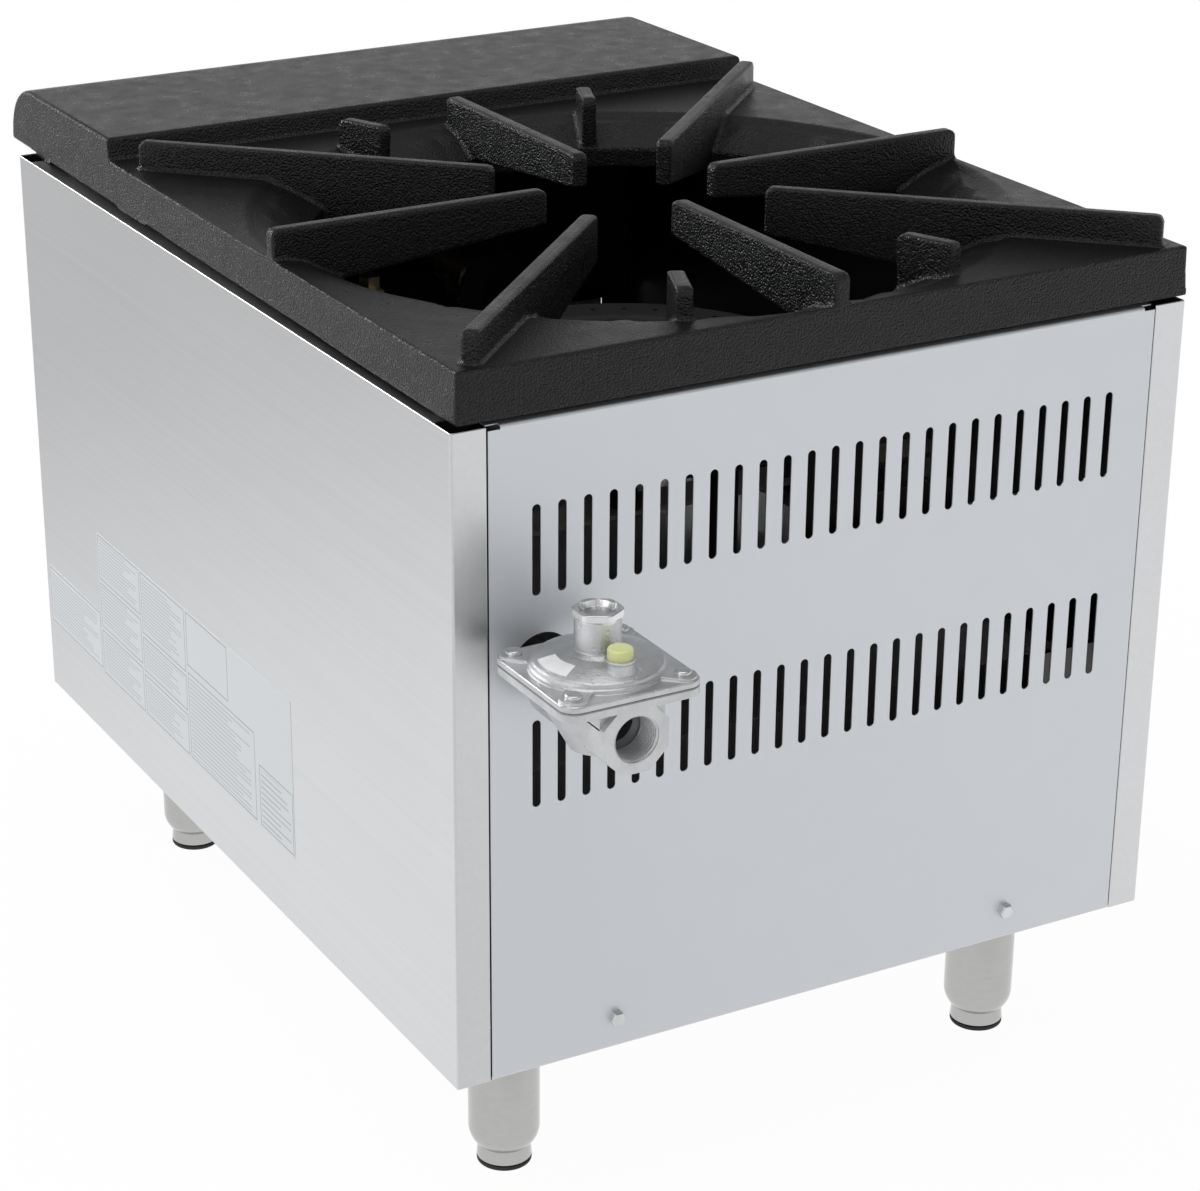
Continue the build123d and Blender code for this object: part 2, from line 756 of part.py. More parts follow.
with BuildPart() as burner_outer:
    for radius, width in ((outer_ring_radius, outer_ring_width), (middle_ring_radius, middle_ring_width)):
        with BuildSketch(grate_plane):
            with Locations((radius, ring_middle)):
                RectangleRounded(width, ring_tall, ring_corner)
        revolve(axis=vertical)
    # arms between the two rings, and the legs that stand on the rails
    with BuildSketch(Plane.XY.offset(burner_foot)):
        with Locations((0, grate_y)):
            with PolarLocations((outer_ring_radius + middle_ring_radius) / 2, 4, start_angle=45):
                Rectangle(outer_ring_radius - middle_ring_radius, arm_width)
    extrude(amount=arm_height)
    with BuildSketch(Plane.XY.offset(burner_rail_top)):
        with Locations((0, grate_y)):
            with PolarLocations(outer_ring_radius, 4):
                Circle(burner_leg_radius)
    extrude(amount=burner_foot + ring_corner - burner_rail_top)
    # mixing tube with its bell mouth, up into the outer ring through a riser
    with BuildSketch(Plane.XY.offset(venturi_foot)):
        with Locations((outer_venturi_x, riser_y)):
            Circle(neck_radius)
    extrude(amount=burner_foot + ring_corner - venturi_foot)
    with BuildSketch(Plane(origin=(outer_venturi_x, 0, knob_z), x_dir=(1, 0, 0), z_dir=(0, 0, 1))):
        with BuildLine():
            Polyline(
                (venturi_radius - venturi_wall, mouth_y + venturi_mouth_length),
                (venturi_mouth_radius - venturi_wall, mouth_y),
                (venturi_mouth_radius, mouth_y),
                (venturi_radius, mouth_y + venturi_mouth_length),
                (venturi_radius, riser_y),
                (0, riser_y),
                (0, riser_y - venturi_radius),
                (venturi_radius - venturi_wall, riser_y - venturi_radius),
                close=True,
            )
        make_face()
    revolve(axis=Axis((outer_venturi_x, 0, knob_z), (0, 1, 0)))
    extrude(mixer_disc(outer_venturi_x, mouth_y), amount=mixer_face)
    # ports along the top of both rings
    with BuildSketch(Plane.XY.offset(burner_top - port_depth)):
        with Locations((0, grate_y)):
            with PolarLocations(outer_ring_radius, outer_ports):
                Circle(port_radius)
            with PolarLocations(middle_ring_radius, middle_ports):
                Circle(port_radius)
    extrude(amount=port_depth + 1, mode=Mode.SUBTRACT)
save(burner_outer.part, "burner_outer")

with BuildPart() as burner_inner:
    head_foot = burner_top - inner_head_height
    with BuildSketch(grate_plane):
        with BuildLine():
            Polyline(
                (0, burner_rail_top),
                (burner_leg_radius, burner_rail_top),
                (burner_leg_radius, venturi_foot),
                (neck_radius, venturi_foot),
                (neck_radius, head_foot - ring_corner),
                (inner_head_radius, head_foot),
                (inner_head_radius, burner_top - ring_corner),
                (inner_head_radius - ring_corner, burner_top),
                (inner_vent_radius, burner_top),
                (inner_vent_radius, head_foot),
                (0, head_foot),
                close=True,
            )
        make_face()
    revolve(axis=vertical)
    with BuildSketch(Plane.XY.offset(burner_top - port_depth)):
        with Locations((0, grate_y)):
            with PolarLocations(inner_port_circle - ring_corner, inner_ports):
                Circle(port_radius)
    extrude(amount=port_depth + 1, mode=Mode.SUBTRACT)
    # mixing tube, under the rings and round to the middle
    with BuildLine() as tube_path:
        FilletPolyline(
            (inner_venturi_x, mouth_y + venturi_mouth_length, knob_z),
            (inner_venturi_x, grate_y + inner_venturi_x, knob_z),
            (0, grate_y, knob_z),
            radius=venturi_bend,
        )
    with BuildSketch(along_y(inner_venturi_x, mouth_y + venturi_mouth_length, knob_z)):
        Circle(venturi_radius)
    sweep(path=tube_path.line)
    with BuildSketch(Plane(origin=(inner_venturi_x, 0, knob_z), x_dir=(1, 0, 0), z_dir=(0, 0, 1))):
        with BuildLine():
            Polyline(
                (0, mouth_y + venturi_mouth_length + venturi_bend),
                (0, mouth_y),
                (venturi_mouth_radius, mouth_y),
                (venturi_radius, mouth_y + venturi_mouth_length),
                (venturi_radius, mouth_y + venturi_mouth_length + venturi_bend),
                close=True,
            )
        make_face()
    revolve(axis=Axis((inner_venturi_x, 0, knob_z), (0, 1, 0)))
    with BuildSketch(Plane(origin=(inner_venturi_x, 0, knob_z), x_dir=(1, 0, 0), z_dir=(0, 0, 1))):
        with BuildLine():
            bore = venturi_radius - venturi_wall
            Polyline(
                (0, grate_y + inner_venturi_x - venturi_bend),
                (0, mouth_y - 1),
                (venturi_mouth_radius - venturi_wall, mouth_y - 1),
                (bore, mouth_y + venturi_mouth_length),
                (bore, grate_y + inner_venturi_x - venturi_bend),
                close=True,
            )
        make_face()
    revolve(axis=Axis((inner_venturi_x, 0, knob_z), (0, 1, 0)), mode=Mode.SUBTRACT)
    extrude(mixer_disc(inner_venturi_x, mouth_y), amount=mixer_face)
save(burner_inner.part, "burner_inner")

# ------------------------------------------------------------------ gas line: nipple, coupling, pipe, elbow, manifold
outlet_face = rear_face + regulator_stand_off - regulator_half
coupling_y = rear_inner - bottom_return - coupling_length
with BuildPart() as inlet_nipple:
    with BuildSketch(along_y(supply_side, coupling_y, supply_z)):
        Circle(pipe_radius)
        Circle(pipe_radius - pipe_wall, mode=Mode.SUBTRACT)
    extrude(amount=outlet_face - coupling_y + port_boss_length / 2)
save(inlet_nipple.part, "inlet_nipple")

with BuildPart() as pipe_coupling:
    with BuildSketch(along_y(supply_side, coupling_y - coupling_length / 2, supply_z)):
        Circle(coupling_radius)
        Circle(pipe_radius, mode=Mode.SUBTRACT)
    extrude(amount=coupling_length)
    chamfer(pipe_coupling.edges().filter_by(GeomType.CIRCLE).sort_by(SortBy.RADIUS)[-2:], coupling_edge)
save(pipe_coupling.part, "pipe_coupling")

elbow_mouth = manifold_y + elbow_reach
with BuildPart() as supply_pipe:
    with BuildSketch(along_y(supply_side, elbow_mouth - elbow_band, supply_z)):
        Circle(pipe_radius)
        Circle(pipe_radius - pipe_wall, mode=Mode.SUBTRACT)
    extrude(amount=coupling_y - elbow_mouth + elbow_band)
save(supply_pipe.part, "supply_pipe")

elbow_corner = supply_side - elbow_reach
with BuildPart() as manifold_elbow:
    with BuildLine() as elbow_path:
        Line((supply_side, elbow_mouth, supply_z), (supply_side, elbow_mouth - elbow_lead, supply_z))
        JernArc((supply_side, elbow_mouth - elbow_lead, supply_z), (0, -1, 0), elbow_reach - elbow_lead, -90)
        Line(elbow_path.line @ 1, (elbow_corner, manifold_y, supply_z))
    with BuildSketch(along_y(supply_side, elbow_mouth, supply_z)):
        Circle(elbow_radius - elbow_bead)
    sweep(path=elbow_path.line)
    for plane in (
        Plane(origin=(supply_side, elbow_mouth, supply_z), x_dir=(1, 0, 0), z_dir=(0, -1, 0)),
        Plane(origin=(elbow_corner, manifold_y, supply_z), x_dir=(0, 1, 0), z_dir=(1, 0, 0)),
    ):
        with BuildSketch(plane):
            Circle(elbow_radius + elbow_bead)
        extrude(amount=elbow_band)
        with BuildSketch(plane):
            Circle(pipe_radius)
        extrude(amount=elbow_band, mode=Mode.SUBTRACT)
save(manifold_elbow.part, "manifold_elbow")

with BuildPart() as manifold_pipe:
    with BuildSketch(Plane.YZ.offset(-manifold_end_side)):
        with Locations((manifold_y, supply_z)):
            Circle(pipe_radius)
            Circle(pipe_radius - pipe_wall, mode=Mode.SUBTRACT)
    extrude(amount=manifold_end_side + elbow_corner + elbow_band)
save(manifold_pipe.part, "manifold_pipe")

with BuildPart() as manifold_cap:
    with BuildSketch(Plane.YZ.offset(-manifold_end_side - manifold_cap_end)):
        with Locations((manifold_y, supply_z)):
            Circle(elbow_radius)
    extrude(amount=manifold_cap_length)
    with BuildSketch(Plane.YZ.offset(-manifold_end_side)):
        with Locations((manifold_y, supply_z)):
            Circle(pipe_radius)
    extrude(amount=manifold_cap_length, mode=Mode.SUBTRACT)
    chamfer(manifold_cap.edges().filter_by(GeomType.CIRCLE).sort_by(Axis.X)[:1], manifold_cap_end - elbow_bead)
save(manifold_cap.part, "manifold_cap")

# ------------------------------------------------------------------ valves, orifice hoods, stems, bezels, knobs, shutters
valve_front = manifold_y - valve_length / 2
valve_rear = manifold_y + valve_length / 2
for name, x in zip(("inner", "outer"), knob_sides):
    with BuildPart() as valve:
        with BuildSketch(Plane.XY.offset(supply_z)):
            with Locations((x, manifold_y)):
                RegularPolygon(valve_radius, 6, major_radius=False)
        extrude(amount=valve_rise)
        with BuildSketch(Plane.YZ.offset(x - 2 * valve_radius)):
            with Locations((manifold_y, supply_z)):
                Circle(pipe_radius)
        extrude(amount=4 * valve_radius, mode=Mode.SUBTRACT)
        with BuildSketch(along_y(x, valve_front, knob_z)):
            Circle(valve_radius)
        extrude(amount=valve_length)
        with BuildSketch(along_y(x, valve_front, knob_z)):
            Circle(stem_radius + stem_running_gap)
        extrude(amount=valve_length / 2, mode=Mode.SUBTRACT)
        chamfer(valve.edges().filter_by(GeomType.CIRCLE).sort_by(Axis.Y)[-1:], valve_edge)
    save(valve.part, f"valve_{name}")

    with BuildPart() as hood:
        with BuildSketch(along_y(x, valve_rear, knob_z)):
            RegularPolygon(hood_flats / 2, 6, major_radius=False)
        extrude(amount=hood_length - hood_tip_length)
        with BuildSketch(along_y(x, valve_rear + hood_length - hood_tip_length, knob_z)):
            Circle(hood_tip_radius)
        extrude(amount=hood_tip_length)
        with BuildSketch(along_y(x, valve_rear + hood_length / 2, knob_z)):
            Circle(orifice_radius)
        extrude(amount=hood_length, mode=Mode.SUBTRACT)
    save(hood.part, f"orifice_hood_{name}")

    with BuildPart() as shutter:
        extrude(mixer_disc(x, mouth_y - shutter_gap - shutter_thickness), amount=shutter_thickness)
    save(shutter.part, f"air_shutter_{name}")

    stem_tip = front_face - bezel_thickness - knob_gap - stem_socket_depth
    with BuildPart() as stem:
        with BuildSketch(along_y(x, stem_tip, knob_z)):
            Circle(stem_radius)
        extrude(amount=valve_front + valve_length / 2 - stem_end_gap - stem_tip)
        with BuildSketch(along_y(x, stem_tip, knob_z)):
            with Locations((0, -stem_radius)):
                Rectangle(2 * stem_radius, stem_radius)
        extrude(amount=stem_socket_depth, mode=Mode.SUBTRACT)
    save(stem.part, f"valve_stem_{name}")

    with BuildPart() as bezel:
        with BuildSketch(along_y(x, front_face - bezel_thickness, knob_z)):
            Circle(bezel_radius)
            Circle(stem_hole_radius, mode=Mode.SUBTRACT)
        extrude(amount=bezel_thickness)
    save(bezel.part, f"bezel_{name}")

    knob_rear = front_face - bezel_thickness - knob_gap
    with BuildPart() as knob:
        with BuildSketch(along_y(x, knob_rear - knob_base_height, knob_z)):
            Circle(knob_base_radius)
        extrude(amount=knob_base_height)
        fillet(knob.edges().filter_by(GeomType.CIRCLE).sort_by(Axis.Y)[:1], knob_edge)
        with BuildSketch(along_y(x, knob_rear - knob_base_height, knob_z)):
            SlotOverall(knob_bar_length, knob_bar_width + knob_bar_draft, rotation=90)
        with BuildSketch(along_y(x, knob_rear - knob_length, knob_z)):
            SlotOverall(knob_bar_length - 2 * knob_bar_draft, knob_bar_width - knob_bar_draft, rotation=90)
        loft()
        with BuildSketch(along_y(x, knob_rear - knob_length, knob_z)):
            with Locations((0, -knob_bar_length / 4)):
                Rectangle(knob_mark_width, knob_bar_length / 3)
        extrude(amount=knob_mark_depth, mode=Mode.SUBTRACT)
        with BuildSketch(along_y(x, knob_rear - stem_socket_depth, knob_z)):
            Circle(stem_radius)
            with Locations((0, -stem_radius)):
                Rectangle(2 * stem_radius, stem_radius, mode=Mode.SUBTRACT)
        extrude(amount=stem_socket_depth, mode=Mode.SUBTRACT)
    save(knob.part, f"knob_{name}")

# ------------------------------------------------------------------ pilot
pilot_y = grate_y + pilot_tip_from_grate
pilot_tip_z = knob_z + pilot_tip_rise
pilot_base = supply_z + pipe_radius
pilot_line = pilot_base + pilot_valve_height / 2
with BuildPart() as pilot_valve:
    with BuildSketch(Plane.XY.offset(pilot_base)):
        with Locations((0, manifold_y)):
            RegularPolygon(pilot_valve_radius, 6, major_radius=False)
    extrude(amount=pilot_valve_height)
    with BuildSketch(along_y(0, manifold_y, pilot_line)):
        Circle(pilot_tube_radius + pilot_nut_wall)
    extrude(amount=pilot_valve_radius + pilot_nut_length)
save(pilot_valve.part, "pilot_valve")

with BuildPart() as pilot_tube:
    with BuildLine() as route:
        FilletPolyline(
            (0, manifold_y + pilot_valve_radius + pilot_nut_length, pilot_line),
            (0, manifold_y + 3 * pilot_tube_bend, pilot_line),
            (pilot_tip_side, manifold_y + 7 * pilot_tube_bend, pilot_line),
            (pilot_tip_side, pilot_y, pilot_line),
            (pilot_tip_side, pilot_y, pilot_tip_z),
            radius=pilot_tube_bend,
        )
    with BuildSketch(along_y(0, manifold_y + pilot_valve_radius + pilot_nut_length, pilot_line)):
        Circle(pilot_tube_radius)
    sweep(path=route.line)
save(pilot_tube.part, "pilot_tube")

with BuildPart() as pilot_burner:
    with BuildSketch(Plane.XY.offset(pilot_tip_z)):
        with Locations((pilot_tip_side, pilot_y)):
            RegularPolygon(pilot_tube_radius + pilot_body_wall, 6, major_radius=False)
    extrude(amount=pilot_body_height)
    with BuildSketch(Plane.XY.offset(pilot_tip_z + pilot_body_height)):
        with Locations((pilot_tip_side, pilot_y)):
            Circle(pilot_tube_radius + pilot_body_wall / 3)
    extrude(amount=pilot_jet_height, taper=8)
    # strip that stands on the front burner rail
    strip_y = pilot_y + pilot_tube_radius + pilot_body_wall
    with BuildSketch(Plane.YZ.offset(pilot_tip_side - pilot_strip_width / 2)):
        with BuildLine():
            Polyline(
                (strip_y, pilot_tip_z + pilot_body_height),
                (strip_y, burner_rail_top),
                (strip_y + burner_rail_width, burner_rail_top),
            )
            offset(amount=rail_sheet, side=Side.LEFT)
        make_face()
    extrude(amount=pilot_strip_width)
save(pilot_burner.part, "pilot_burner")

# ------------------------------------------------------------------ drip tray and its runners
tray_floor = body_foot + tray_floor_height
tray_rim = tray_floor + tray_wall_height
tray_pan_start = front_inner + fit_gap
tray_length = rear_inner - tray_rear_gap - tray_pan_start
tray_half_width = body_side - tray_inset
with BuildPart() as drip_tray:
    with BuildSketch(Plane.XY.offset(tray_floor)):
        with Locations((0, tray_pan_start)):
            Rectangle(2 * tray_half_width, tray_length, align=(Align.CENTER, Align.MIN))
    extrude(amount=tray_wall_height)
    offset(amount=-tray_sheet, openings=drip_tray.faces().sort_by(Axis.Z)[-1])
    # lips that hang on the runners
    with BuildSketch(Plane.XY.offset(tray_rim - tray_sheet)):
        with Locations((0, tray_pan_start)):
            Rectangle(2 * (tray_half_width + tray_lip), tray_length, align=(Align.CENTER, Align.MIN))
            Rectangle(
                2 * (tray_half_width - tray_sheet),
                tray_length - tray_sheet,
                align=(Align.CENTER, Align.MIN),
                mode=Mode.SUBTRACT,
            )
    extrude(amount=tray_sheet)
    # front with its pull, bent forward and down
    with BuildSketch(Plane.YZ.offset(-panel_half)):
        with BuildLine():
            FilletPolyline(
                (front_face, tray_front_bottom),
                (front_face, tray_front_top - sheet),
                (front_face - pull_reach, tray_front_top - sheet),
                (front_face - pull_reach, tray_front_top - sheet - pull_drop),
                radius=bend_radius,
            )
            offset(amount=sheet, side=Side.RIGHT)
        make_face()
    extrude(amount=2 * panel_half)
    with BuildSketch(Plane.XZ.offset(-tray_pan_start - tray_sheet)):
        with Locations((0, tray_floor)):
            Rectangle(2 * tray_half_width, tray_wall_height, align=(Align.CENTER, Align.MIN))
    extrude(amount=tray_sheet + fit_gap)
save(drip_tray.part, "drip_tray")

runner_shelf = tray_rim - tray_sheet - fit_gap
with BuildPart() as tray_runner_right:
    with BuildSketch(Plane.XZ.offset(-front_inner - front_return)):
        with BuildLine():
            Polyline(
                (side_inner, runner_shelf - sheet + runner_tall),
                (side_inner, runner_shelf - sheet),
                (tray_half_width + 2 * tray_side_gap, runner_shelf - sheet),
            )
            offset(amount=sheet, side=Side.RIGHT)
        make_face()
    extrude(amount=-(tray_length - front_return))
save(tray_runner_right.part, "tray_runner_right")

with BuildPart() as tray_runner_left:
    mirror(tray_runner_right.part, about=Plane.YZ)
save(tray_runner_left.part, "tray_runner_left")

# ------------------------------------------------------------------ gas pressure regulator
regulator_y = rear_face + regulator_stand_off
flange_head = supply_z + flange_head_rise
cover_foot = flange_head - cover_flange
gasket_foot = cover_foot - gasket_thickness
body_flange_foot = gasket_foot - body_flange
inlet_face = regulator_y + regulator_half - inlet_face_inset
ear_spacing = 2 * (regulator_half - regulator_ear_inset)
disc_head = flange_head + disc_rise
tower_foot = disc_head + dome_rise
tower_head = tower_foot + tower_height
regulator_axis = Axis((supply_side, regulator_y, 0), (0, 0, 1))
regulator_plane = Plane(origin=(supply_side, regulator_y, 0), x_dir=(1, 0, 0), z_dir=(0, -1, 0))

with BuildPart() as regulator_body:
    with BuildSketch(Plane.XY.offset(body_flange_foot)):
        with Locations((supply_side, regulator_y)):
            RectangleRounded(2 * regulator_half, 2 * regulator_half, regulator_corner)
    extrude(amount=body_flange)
    with BuildSketch(regulator_plane):
        with BuildLine():
            Polyline(
                (0, body_flange_foot),
                (disc_radius, body_flange_foot),
                (bowl_radius, body_flange_foot - bowl_depth / 3),
                (bowl_radius / 2, supply_z - outlet_boss_radius),
                (0, supply_z - outlet_boss_radius),
                close=True,
            )
        make_face()
    revolve(axis=regulator_axis)
    with BuildSketch(along_y(supply_side, inlet_face - port_boss_length, supply_z)):
        RegularPolygon(inlet_flats / 2, 8, major_radius=False, rotation=22.5)
    extrude(amount=port_boss_length)
    with BuildSketch(along_y(supply_side, outlet_face, supply_z)):
        Circle(outlet_boss_radius)
    extrude(amount=port_boss_length + bowl_radius / 2)
    with BuildSketch(Plane.YZ.offset(supply_side - body_rib / 2)):
        with Locations((outlet_face, supply_z)):
            Rectangle(port_boss_length, body_flange_foot - supply_z, align=(Align.MIN, Align.MIN))
    extrude(amount=body_rib)
    # threaded bores from both faces, and the passage between them
    for face, direction in ((inlet_face, -1), (outlet_face, 1)):
        with BuildSketch(along_y(supply_side, face, supply_z)):
            Circle(inlet_bore_radius if direction < 0 else pipe_radius)
        bore_length = inlet_bore_depth if direction < 0 else port_boss_length / 2
        extrude(amount=direction * bore_length, mode=Mode.SUBTRACT)
    with BuildSketch(along_y(supply_side, outlet_face, supply_z)):
        Circle(pipe_radius - pipe_wall)
    extrude(amount=2 * regulator_half - inlet_bore_depth, mode=Mode.SUBTRACT)
save(regulator_body.part, "regulator_body")

with BuildPart() as regulator_gasket:
    with BuildSketch(Plane.XY.offset(gasket_foot)):
        with Locations((supply_side, regulator_y)):
            RectangleRounded(2 * regulator_half, 2 * regulator_half, regulator_corner)
    extrude(amount=gasket_thickness)
save(regulator_gasket.part, "regulator_gasket")

with BuildPart() as regulator_cover:
    with BuildSketch(Plane.XY.offset(cover_foot)):
        with Locations((supply_side, regulator_y)):
            RectangleRounded(2 * regulator_half, 2 * regulator_half, regulator_corner)
    extrude(amount=cover_flange)
    with BuildSketch(Plane.XY.offset(flange_head)):
        with Locations((supply_side, regulator_y)):
            with GridLocations(ear_spacing, ear_spacing, 2, 2):
                Circle(ear_radius)
    extrude(amount=ear_rise)
    with BuildSketch(regulator_plane):
        with BuildLine():
            Polyline(
                (0, flange_head),
                (disc_radius, flange_head),
                (disc_radius, disc_head - disc_edge),
                (disc_radius - disc_edge, disc_head),
                (tower_radius + tower_fillet, tower_foot),
                (tower_radius, tower_foot + tower_fillet),
                (tower_radius, tower_head),
                (0, tower_head),
                close=True,
            )
        make_face()
    revolve(axis=regulator_axis)
    with BuildSketch(Plane.XY.offset(disc_head)):
        with Locations((supply_side, regulator_y + vent_from_tower)):
            Circle(vent_radius)
    extrude(amount=vent_height + dome_rise / 2)
    with BuildSketch(Plane.XY.offset(tower_head)):
        with Locations((supply_side, regulator_y)):
            Circle(tower_radius - tower_wall)
    extrude(amount=-cap_height, mode=Mode.SUBTRACT)
save(regulator_cover.part, "regulator_cover")

with BuildPart() as regulator_cap:
    with BuildSketch(Plane.XY.offset(tower_head)):
        with Locations((supply_side, regulator_y)):
            RegularPolygon(cap_flats / 2, 8, major_radius=False, rotation=22.5)
    extrude(amount=cap_height - cap_crown_height)
    with BuildSketch(Plane.XY.offset(tower_head + cap_height - cap_crown_height)):
        with Locations((supply_side, regulator_y)):
            Circle(cap_crown_radius)
    extrude(amount=cap_crown_height)
    with BuildSketch(Plane.XY.offset(tower_head - cap_height)):
        with Locations((supply_side, regulator_y)):
            Circle(tower_radius - tower_wall)
    extrude(amount=cap_height)
    for turn in (0, 45, 90, 135):
        with BuildSketch(Plane.XY.offset(tower_head + cap_height - cap_slot_depth)):
            with Locations(Location((supply_side, regulator_y), turn)):
                Rectangle(3 * cap_crown_radius, cap_slot)
        extrude(amount=cap_height, mode=Mode.SUBTRACT)
save(regulator_cap.part, "regulator_cap")

with BuildPart() as vent_plug:
    with BuildSketch(Plane.XY.offset(disc_head + vent_height + dome_rise / 2)):
        with Locations((supply_side, regulator_y + vent_from_tower)):
            Circle(plug_radius)
    extrude(amount=plug_height)
    chamfer(vent_plug.edges().filter_by(GeomType.CIRCLE).sort_by(Axis.Z)[-1:], plug_edge)
save(vent_plug.part, "vent_plug")

with BuildPart() as regulator_screws:
    with BuildSketch(Plane.XY.offset(flange_head + ear_rise)):
        with Locations((supply_side, regulator_y)):
            with GridLocations(ear_spacing, ear_spacing, 2, 2):
                Circle(screw_head_radius)
    extrude(amount=screw_head_height)
    fillet(regulator_screws.faces().sort_by(Axis.Z)[-4:].edges(), screw_head_edge)
save(regulator_screws.part, "regulator_screws")
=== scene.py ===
"""Finishes, soft edges, stickers and studio for a stock pot range.

The frame holds every working piece at its real size. This file gives each of them its surface: the
pebbled black skin of the cast top, brushed and matt sheet steel, raw castings, brass, zinc and rubber.
It adds what is thinner or finer than the frame holds, and sets the floor, the lamps and the camera.
Lengths are metres, and places are in the frame's own axes.
"""

from contextlib import contextmanager
from math import pi, radians

import bmesh
import bpy
import numpy as np
from bpy.props import FloatProperty, FloatVectorProperty, IntProperty, PointerProperty
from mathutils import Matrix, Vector


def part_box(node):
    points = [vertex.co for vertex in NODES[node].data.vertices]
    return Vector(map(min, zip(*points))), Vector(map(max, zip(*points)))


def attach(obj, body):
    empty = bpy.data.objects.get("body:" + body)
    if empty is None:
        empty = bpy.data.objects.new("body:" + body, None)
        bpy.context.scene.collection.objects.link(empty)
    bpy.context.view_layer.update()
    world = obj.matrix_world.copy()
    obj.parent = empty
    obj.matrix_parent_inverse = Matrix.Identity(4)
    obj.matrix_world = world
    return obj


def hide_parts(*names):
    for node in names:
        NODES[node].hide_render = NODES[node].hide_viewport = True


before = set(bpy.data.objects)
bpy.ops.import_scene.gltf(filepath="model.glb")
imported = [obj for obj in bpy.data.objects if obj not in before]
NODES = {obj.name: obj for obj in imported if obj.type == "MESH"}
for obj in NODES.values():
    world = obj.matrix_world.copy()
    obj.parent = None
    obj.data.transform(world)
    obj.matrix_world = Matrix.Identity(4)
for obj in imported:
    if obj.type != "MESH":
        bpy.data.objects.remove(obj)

bl_info = {
    "name": "Stock Pot Range Looks",
    "version": (1, 0, 0),
    "blender": (4, 5, 0),
    "location": "View3D > Sidebar > Range",
    "description": "Finishes, soft edges, stickers and studio for a stock pot range",
    "category": "Object",
}

FRAME_BODY = "range_frame"
ROUND_STEPS = 72  # points round a turned form
CORNERS = ("front_left", "front_right", "rear_left", "rear_right")
MM = 0.001


# ------------------------------------------------------------------ settings
def length(name, description, default):
    """A size in metres, shown in the scene's units."""
    return FloatProperty(name=name, description=description, default=default, precision=5, unit="LENGTH")


def colour(name, thing, default):
    """The linear colour of a thing."""
    return FloatVectorProperty(
        name=name, description=f"Colour of {thing}", default=default, subtype="COLOR", size=3, min=0, max=1
    )


def share(name, description, default):
    """A value from 0 to 1."""
    return FloatProperty(
        name=name, description=description, default=default, min=0, max=1, subtype="FACTOR"
    )


def power(name, description, default):
    """The power of a lamp."""
    return FloatProperty(name=name, description=description, default=default, unit="POWER")


class CastTopSettings(bpy.types.PropertyGroup):
    """The black grate top."""

    colour: colour("Black", "the cured black coat", (0.0035, 0.0037, 0.0040))
    dish_radius: length("Dish Radius", "Radius of the dish under the fingers", 213.5 * MM)
    throat_radius: length("Throat Radius", "Radius of the round throat", 184 * MM)
    rear_margin: length("Rear Margin", "From the dish to the rear face", 10.1 * MM)
    finger_rise: length("Finger Rise", "From the deck to the tops of the fingers", 17 * MM)
    sink: length("Sink", "How far the fingers' feet reach into the deck below them", 1.5 * MM)
    voxel: length("Skin Step", "Size of the steps that soften the casting's edges", 1.4 * MM)
    softening: IntProperty(name="Softening", description="Rounds of smoothing over the skin", default=1)
    pebble: length("Pebble Size", "Width of one bump of the cast skin", 1.25 * MM)
    pebble_depth: length("Pebble Depth", "Height of the bumps", 0.70 * MM)
    roughness: share("Roughness", "Dullness of the coat", 0.31)
    shine: share("Shine", "How strongly the coat reflects", 0.32)


class SheetSettings(bpy.types.PropertyGroup):
    """Stainless and aluminised sheet."""

    stainless: colour("Stainless", "the brushed stainless sheet", (0.66, 0.665, 0.675))
    matt: colour("Rear Sheet", "the matt sheet at the rear", (0.685, 0.710, 0.742))
    leg: colour("Legs", "the turned legs", (0.45, 0.45, 0.445))
    sheet: length("Sheet", "Thickness of the body's sheet", 1.2 * MM)
    matt_metallic: share("Rear Sheen", "How much the matt sheet mirrors rather than scatters", 0.68)
    # painted shade: the inner faces are the same sheet as the outer ones, painted nearly black here
    inside: colour("Inside", "the shade-painted inner faces", (0.006, 0.006, 0.006))
    brush_width: length("Brush Width", "Width of one brushed line", 0.35 * MM)
    brush_length: length("Brush Length", "Length of one brushed line", 60 * MM)
    roughness: share("Roughness", "Dullness of the brushed sheet", 0.33)
    edge: length("Edge", "Radius of the sheet's broken edges", 0.3 * MM)
    bend: length("Bend", "Radius of the side panels' bent edges", 0.58 * MM)


class GasSettings(bpy.types.PropertyGroup):
    """Burners, pipes and valves."""

    iron: colour("Raw Iron", "the raw burner castings", (0.010, 0.0095, 0.009))
    pipe: colour("Black Pipe", "the black pipe", (0.012, 0.012, 0.013))
    brass: colour("Brass", "the valves", (0.74, 0.64, 0.45))


